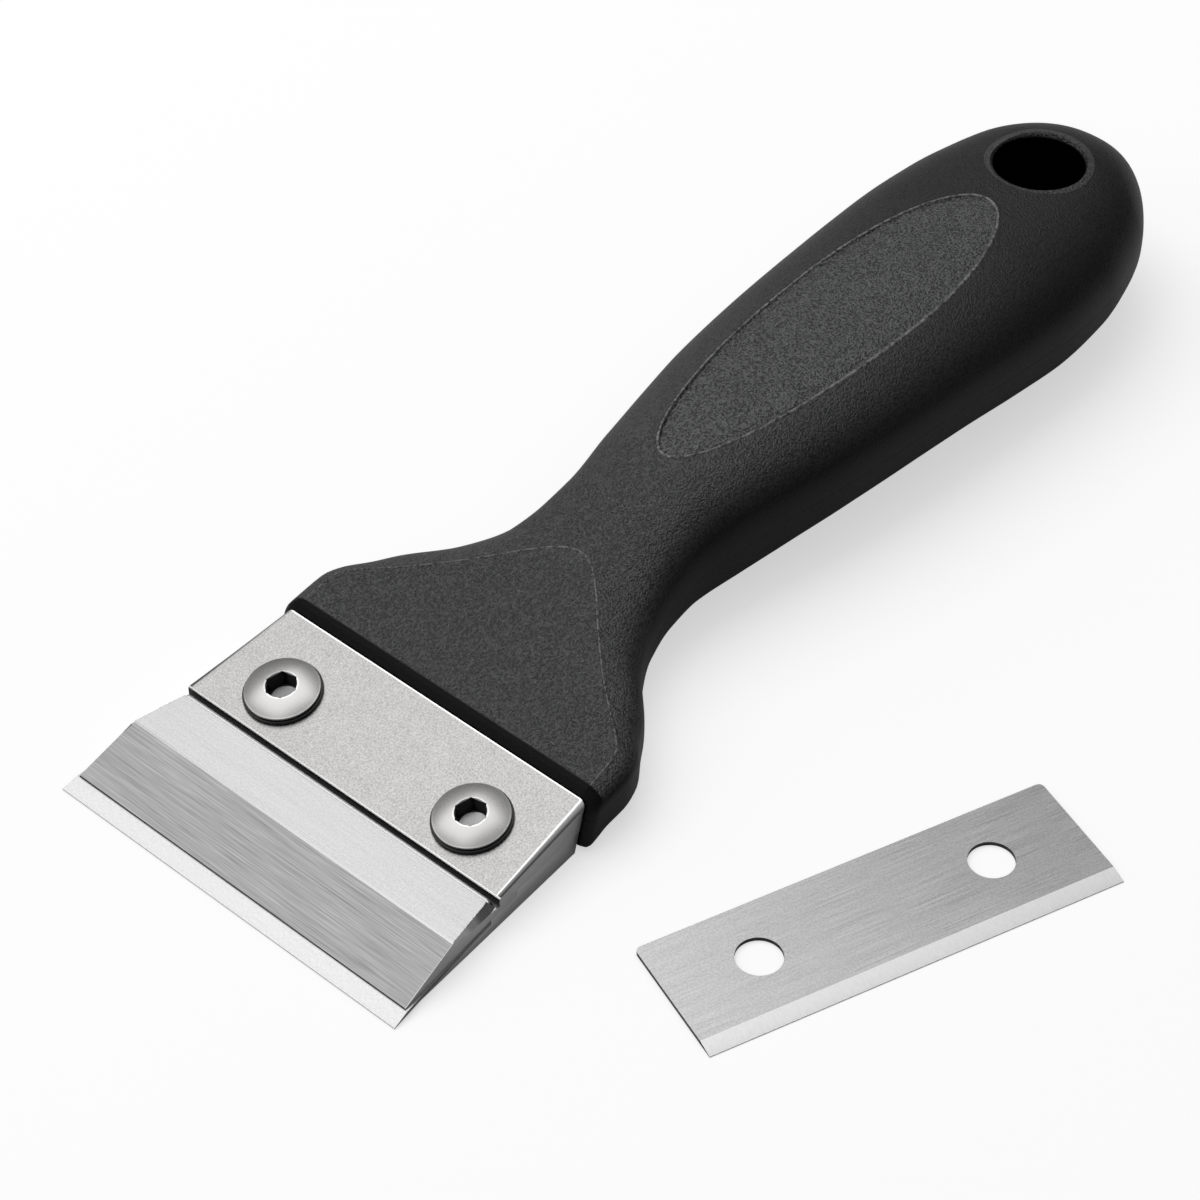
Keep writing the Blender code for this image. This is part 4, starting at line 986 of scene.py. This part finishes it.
def hanging_hole_cutter():
    radius = HOLE_WIDTH / 2
    top, bottom = outside_height(HOLE_AT, 0), outside_height(HOLE_AT, 0, False)
    rim = radius + HOLE_RIM
    beyond = rim + 2 * HOLE_RIM
    profile = [(0, bottom - HOLE_RIM), (beyond, bottom - HOLE_RIM),
               *arc((rim, bottom + HOLE_RIM), HOLE_RIM, 270, 180, 10),
               *arc((rim, top - HOLE_RIM), HOLE_RIM, 180, 108, 10), (rim + HOLE_RIM, top + HOLE_RIM),
               (0, top + HOLE_RIM)]
    place = Matrix.Translation((HOLE_AT - ORIGIN_AT, 0, 0))
    return revolved("hanging_hole", profile, FINE_SIDES, place)


def hollow_cutter():
    """Room for the tang and the screws inside the handle."""
    start, end = COLLAR_AT + COLLAR_LIP + GAP, HOLE_AT - HOLE_WIDTH / 2 - HOLE_RIM - WALL
    rows = []
    for i in range(HOLLOW_ROWS + 1):
        x = start + (end - start) * i / HOLLOW_ROWS
        limit = panel_height(x) - WALL if x < PANEL_APEX_AT else math.inf
        over = [Vector((p.x, p.y, min(p.z, limit))) for p in section_points(x, True, HOLLOW_STEPS, WALL)]
        rows.append(over + section_points(x, False, HOLLOW_STEPS, WALL)[-2:0:-1])
    return new_object(loft(rows), "hollow")


def mouth_cutter():
    """Opening in the collar's face for the carrier's flange."""
    side, top = FLANGE_WIDTH / 2 + GAP, FLANGE_TOP + GAP
    start, end = COLLAR_AT - 8 * MM - ORIGIN_AT, COLLAR_AT + COLLAR_LIP + 2 * GAP - ORIGIN_AT
    rows = [[(x, side, FLOOR), (x, side, top), (x, -side, top), (x, -side, FLOOR)] for x in (start, end)]
    return new_object(loft(rows), "mouth")


def screw_recess(x, y):
    """Recess for the head of a screw that closes the shells from below."""
    seat = outside_height(x, y, False) + 2.6 * MM
    place = Matrix.Translation((x - ORIGIN_AT, y, 0))
    return bore("recess", SHELL_SCREW_WIDTH / 2 + GAP, -2 * MM, seat, place)


def pad_shape(rings):
    """Oval solid on the handle's top; a ring is (share of the oval, distance inside it, depth)."""
    bm = bmesh.new()
    made = []
    for share, inside, depth in rings:
        verts = []
        for i in range(PAD_SIDES):
            angle = 2 * math.pi * i / PAD_SIDES
            c, s = math.cos(angle), math.sin(angle)
            length = PAD_BACK_AT - PAD_WIDEST_AT if c > 0 else PAD_WIDEST_AT - PAD_FRONT_AT
            x = PAD_WIDEST_AT + share * (length - inside) * c
            y = share * (PAD_HALF_WIDTH - inside) * s
            verts.append(bm.verts.new((x - ORIGIN_AT, y, outside_height(x, y) - depth)))
        made.append(verts)
    join_rings(bm, made)
    for verts, depth in ((made[0], rings[0][2]), (made[-1], rings[-1][2])):
        height = outside_height(PAD_WIDEST_AT, 0) - depth
        join_rings(bm, [verts, [bm.verts.new((PAD_WIDEST_AT - ORIGIN_AT, 0, height))]])
    return bm


def pad_recess():
    tops = [(share, -PAD_GAP, -3 * MM) for share in (0.2, 0.4, 0.6, 0.8, 1.0)]
    bottoms = [(share, -PAD_GAP, PAD_DEPTH + 0.1 * MM) for share in (1.0, 0.8, 0.6, 0.4, 0.2)]
    return new_object(pad_shape([*tops, *bottoms]), "pad_recess")


def make_pad():
    """Grained oval, a little sunk, inside a thin raised rim."""
    field = [(share, 1.6 * MM, PAD_SUNK) for share in (0.12, 0.25, 0.38, 0.5, 0.62, 0.74, 0.86, 0.94, 1.0)]
    for i in (1, 2, 3):
        inside, dip = (0.5 + 1.1 * (1 - i / 4)) * MM, 0.1 * MM * math.sin(math.pi * i / 8)
        field.append((1.0, inside, PAD_SUNK + dip))
    rim = []
    for i in range(PAD_RIM_STEPS + 1):
        a = math.pi * i / PAD_RIM_STEPS
        rim.append((1.0, PAD_RIM * (0.5 + 0.5 * math.cos(a)), 0.08 * MM - 0.16 * MM * math.sin(a)))
    bottoms = [(share, 0.0, PAD_DEPTH) for share in (1.0, 0.8, 0.6, 0.4, 0.2)]
    pad = new_object(pad_shape([*field, *rim, *bottoms]), "grip_pad_grained", "pad_rubber")
    # The rim's faces get the painted highlight of the beads
    pad.data.materials.append(MATERIALS["bead"])
    first = len(field) * PAD_SIDES
    for face in pad.data.polygons[first:first + PAD_RIM_STEPS * PAD_SIDES]:
        face.material_index = 1
    smooth(pad, 60)
    replace_node(pad, "grip_pad", "tool")


def mark_bead(shell):
    """Gives the faces of the bead round the panel the painted highlight colour."""
    shell.data.materials.append(MATERIALS["bead"])
    line = len(shell.data.materials) - 1
    for face in shell.data.polygons:
        x, y, z = face.center
        x += ORIGIN_AT - lean(x + ORIGIN_AT, z)
        near = OUTLINE.find((x, abs(y), 0))[2] < 0.3 * BEAD_WIDTH
        if near and x > COLLAR_AT + COLLAR_LIP and z > panel_height(x) - MM and face.normal.z > 0.3:
            face.material_index = line


def make_shell(name, rows, *cutters):
    shell = new_object(loft(rows), name + "_moulded", "handle_plastic")
    cut(shell, hanging_hole_cutter(), hollow_cutter(), *cutters)
    if name == "handle_upper_shell":
        mark_bead(shell)
    smooth(shell, 30)
    replace_node(shell, name, "tool")


def make_handle():
    places = shell_stations()
    make_shell("handle_upper_shell", [upper_points(x, inset) for x, inset in places], pad_recess())
    rows = [section_points(x, False, LOWER_STEPS, inset, SLIT) for x, inset in places]
    make_shell("handle_lower_shell", rows, mouth_cutter(), *(screw_recess(x, y) for x, y in SHELL_SCREWS))


# Clamp screws
def thread(r, z, angle):
    """Depth of a V thread at a point of the shank; it runs out over one pitch at both ends."""
    if r != SCREW_SHANK / 2 or not THREAD_START < z < 0:
        return 0.0
    turn = (z / SCREW_PITCH - angle / (2 * math.pi)) % 1.0
    run_out = min(1.0, (z + SCREW_REACH) / SCREW_PITCH, -z / SCREW_PITCH)
    return -THREAD_DEPTH * (1 - abs(2 * turn - 1)) * run_out


def dome(outer, low, top):
    """Points of a shallow spherical cap, from its rim to the axis."""
    sag = top - low
    radius = (outer**2 + sag**2) / (2 * sag)
    reach = math.asin(outer / radius)
    angles = [reach * (1 - i / DOME_STEPS) for i in range(DOME_STEPS)]
    return [(radius * math.sin(a), top - radius * (1 - math.cos(a))) for a in angles] + [(0, top)]


def socket_cutter(corner, top):
    """Hexagon with a flat bottom that ends in a drill point."""
    floor = top - SOCKET_DEPTH
    bm = bmesh.new()
    angles = [math.radians(60 * i) + SOCKET_TURN for i in range(6)]
    high, low = ([bm.verts.new((corner * math.cos(a), corner * math.sin(a), z)) for a in angles]
                 for z in (top + MM, floor))
    tip = bm.verts.new((0, 0, floor - 0.7 * MM))
    bm.faces.new(high)
    for i in range(6):
        j = (i + 1) % 6
        bm.faces.new((high[i], high[j], low[j], low[i]))
        bm.faces.new((low[i], low[j], tip))
    return new_object(bm, "socket")


def make_screw(side, word):
    """Button head screw with a shallow dome, a hexagon socket and a metric thread."""
    outer, shank, fillet = SCREW_WIDTH / 2, SCREW_SHANK / 2, 0.1 * MM
    rim, top = HEAD_SEAT + HEAD_RIM, HEAD_SEAT + HEAD_HEIGHT
    profile = [(0, -SCREW_REACH), (shank - 0.5 * MM, -SCREW_REACH)]
    profile += [(shank, THREAD_START * (1 - i / THREAD_RINGS)) for i in range(THREAD_RINGS + 1)]
    profile += [(shank, HEAD_SEAT), *arc((outer - fillet, HEAD_SEAT + fillet), fillet, 270, 360, 4)]
    profile += arc((outer - fillet, rim - fillet), fillet, 0, 70, 4)
    profile += dome(outer - fillet * 0.9, rim, top)
    screw = new_object(turned(profile, FINE_SIDES, thread), f"clamp_screw_{word}_turned", "screw_steel")
    corner = SOCKET / math.sqrt(3)
    lead = corner - SOCKET / 2
    cone = [(0, top - lead), (SOCKET / 2, top - lead), (corner + lead, top + lead), (0, top + lead)]
    cut(screw, socket_cutter(corner, top), revolved("socket_lead", cone, FINE_SIDES, Matrix()))
    screw.data.transform(screw_place(side))
    smooth(screw, 25)
    replace_node(screw, f"clamp_screw_{word}", f"screw_{word}")


def make_washer(side, word):
    inner, outer, edge = SCREW_SHANK / 2 + GAP, WASHER_WIDTH / 2, 0.08 * MM
    low, high = WASHER_LIFT, WASHER_LIFT + WASHER_THICKNESS
    profile = [(inner, low), (outer - edge, low), *arc((outer - edge, low + edge), edge, 270, 360, 3),
               *arc((outer - edge, high - edge), edge, 0, 90, 3), (inner, high), (inner, low)]
    bm = turned(profile, FINE_SIDES)
    bmesh.ops.remove_doubles(bm, verts=bm.verts, dist=1e-7)
    washer = new_object(bm, f"screw_washer_{word}_blacked", "dark_steel")
    washer.data.transform(screw_place(side))
    smooth(washer, 40)
    replace_node(washer, f"screw_washer_{word}", "clamp")


# Stage, light and camera
STAGE_HALF, STAGE_DROP = 6.0, 0.02 * MM
STAGE_COLOUR, STAGE_GLOW = 0.68, 0.585
LIGHT_TARGET = Vector((0.04, 0, 0))
# Azimuth, height, distance, size and power of the two lights
KEY = (math.radians(78), math.radians(65), 1.2, (1.2, 1.1), 5.2)
GLINT = (math.radians(150), math.radians(32), 1.0, (0.35, 0.35), 0.35)
ROOM_DIRECTION, ROOM_DARK, ROOM_LIGHT = (-0.05, 0.3, 0.95), 0.06, 0.44
CAMERA_PLACE = Vector((-214.02, -230.16, 329.29)) * MM
CAMERA_TARGET = Vector((45.35, 1.99, 0)) * MM
LENS, SENSOR_WIDTH = 105, 36


def stage_material():
    """White floor that keeps soft shadows; the camera alone sees its glow."""
    made, tree, _ = new_material("white_floor")
    tree.nodes.clear()
    seen = add(tree, "ShaderNodeLightPath").outputs["Is Camera Ray"]
    lit = add(tree, "ShaderNodeBsdfDiffuse", {"Color": grey(STAGE_COLOUR)})
    glow = add(tree, "ShaderNodeEmission", {"Color": grey(1.0), "Strength": times(tree, seen, STAGE_GLOW)})
    both = add(tree, "ShaderNodeAddShader", {0: lit.outputs[0], 1: glow.outputs[0]})
    add(tree, "ShaderNodeOutputMaterial", {"Surface": both.outputs[0]})
    return made


def make_stage():
    corners = [(x * STAGE_HALF, y * STAGE_HALF, 0) for x, y in ((-1, -1), (1, -1), (1, 1), (-1, 1))]
    mesh = bpy.data.meshes.new("floor")
    mesh.from_pydata(corners, [], [(0, 1, 2, 3)])
    floor = bpy.data.objects.new("floor", mesh)
    scene.collection.objects.link(floor)
    floor.location.z = -STAGE_DROP
    mesh.materials.append(stage_material())


def aimed(obj, place, target):
    scene.collection.objects.link(obj)
    obj.location = place
    obj.rotation_euler = (target - place).to_track_quat("-Z", "Y").to_euler()


def area_light(name, azimuth, height, distance, size, power, centre=(0, 0, 0)):
    """Light in a direction from a centre, aimed at the handle's front."""
    data = bpy.data.lights.new(name, "AREA")
    data.shape = "RECTANGLE"
    data.size, data.size_y = size
    data.energy = power
    level = distance * math.cos(height)
    away = Vector((level * math.cos(azimuth), level * math.sin(azimuth), distance * math.sin(height)))
    aimed(bpy.data.objects.new(name, data), Vector(centre) + away, LIGHT_TARGET)


def make_world():
    """White to the camera, and a soft room that is darker on the right of the tool."""
    world = bpy.data.worlds.new("studio")
    scene.world = world
    world.use_nodes = True
    tree = world.node_tree
    back = tree.nodes["Background"]
    seen = add(tree, "ShaderNodeLightPath").outputs["Is Camera Ray"]
    way = add(tree, "ShaderNodeTexCoord").outputs["Generated"]
    facing = vector_sums(tree, "DOT_PRODUCT", way, ROOM_DIRECTION, "Value")
    room = spread(tree, facing, 0.15, 0.9, ROOM_DARK, ROOM_LIGHT)
    tree.links.new(blend(tree, seen, room, 1.0), back.inputs["Strength"])
    back.inputs["Color"].default_value = grey(1.0)


def make_camera():
    data = bpy.data.cameras.new("camera")
    data.lens, data.sensor_width = LENS, SENSOR_WIDTH
    data.clip_start, data.clip_end = 0.01, 20
    scene.camera = bpy.data.objects.new("camera", data)
    aimed(scene.camera, CAMERA_PLACE, CAMERA_TARGET)


MATERIALS = all_materials()
dress_cad()
make_blades()
make_jaw()
make_clamp()
make_handle()
make_pad()
for side, word in ((1, "left"), (-1, "right")):
    make_screw(side, word)
    make_washer(side, word)
make_stage()
make_world()
area_light("key", *KEY, LIGHT_TARGET)
area_light("glint", *GLINT)
make_camera()
scene.view_settings.view_transform = "Standard"
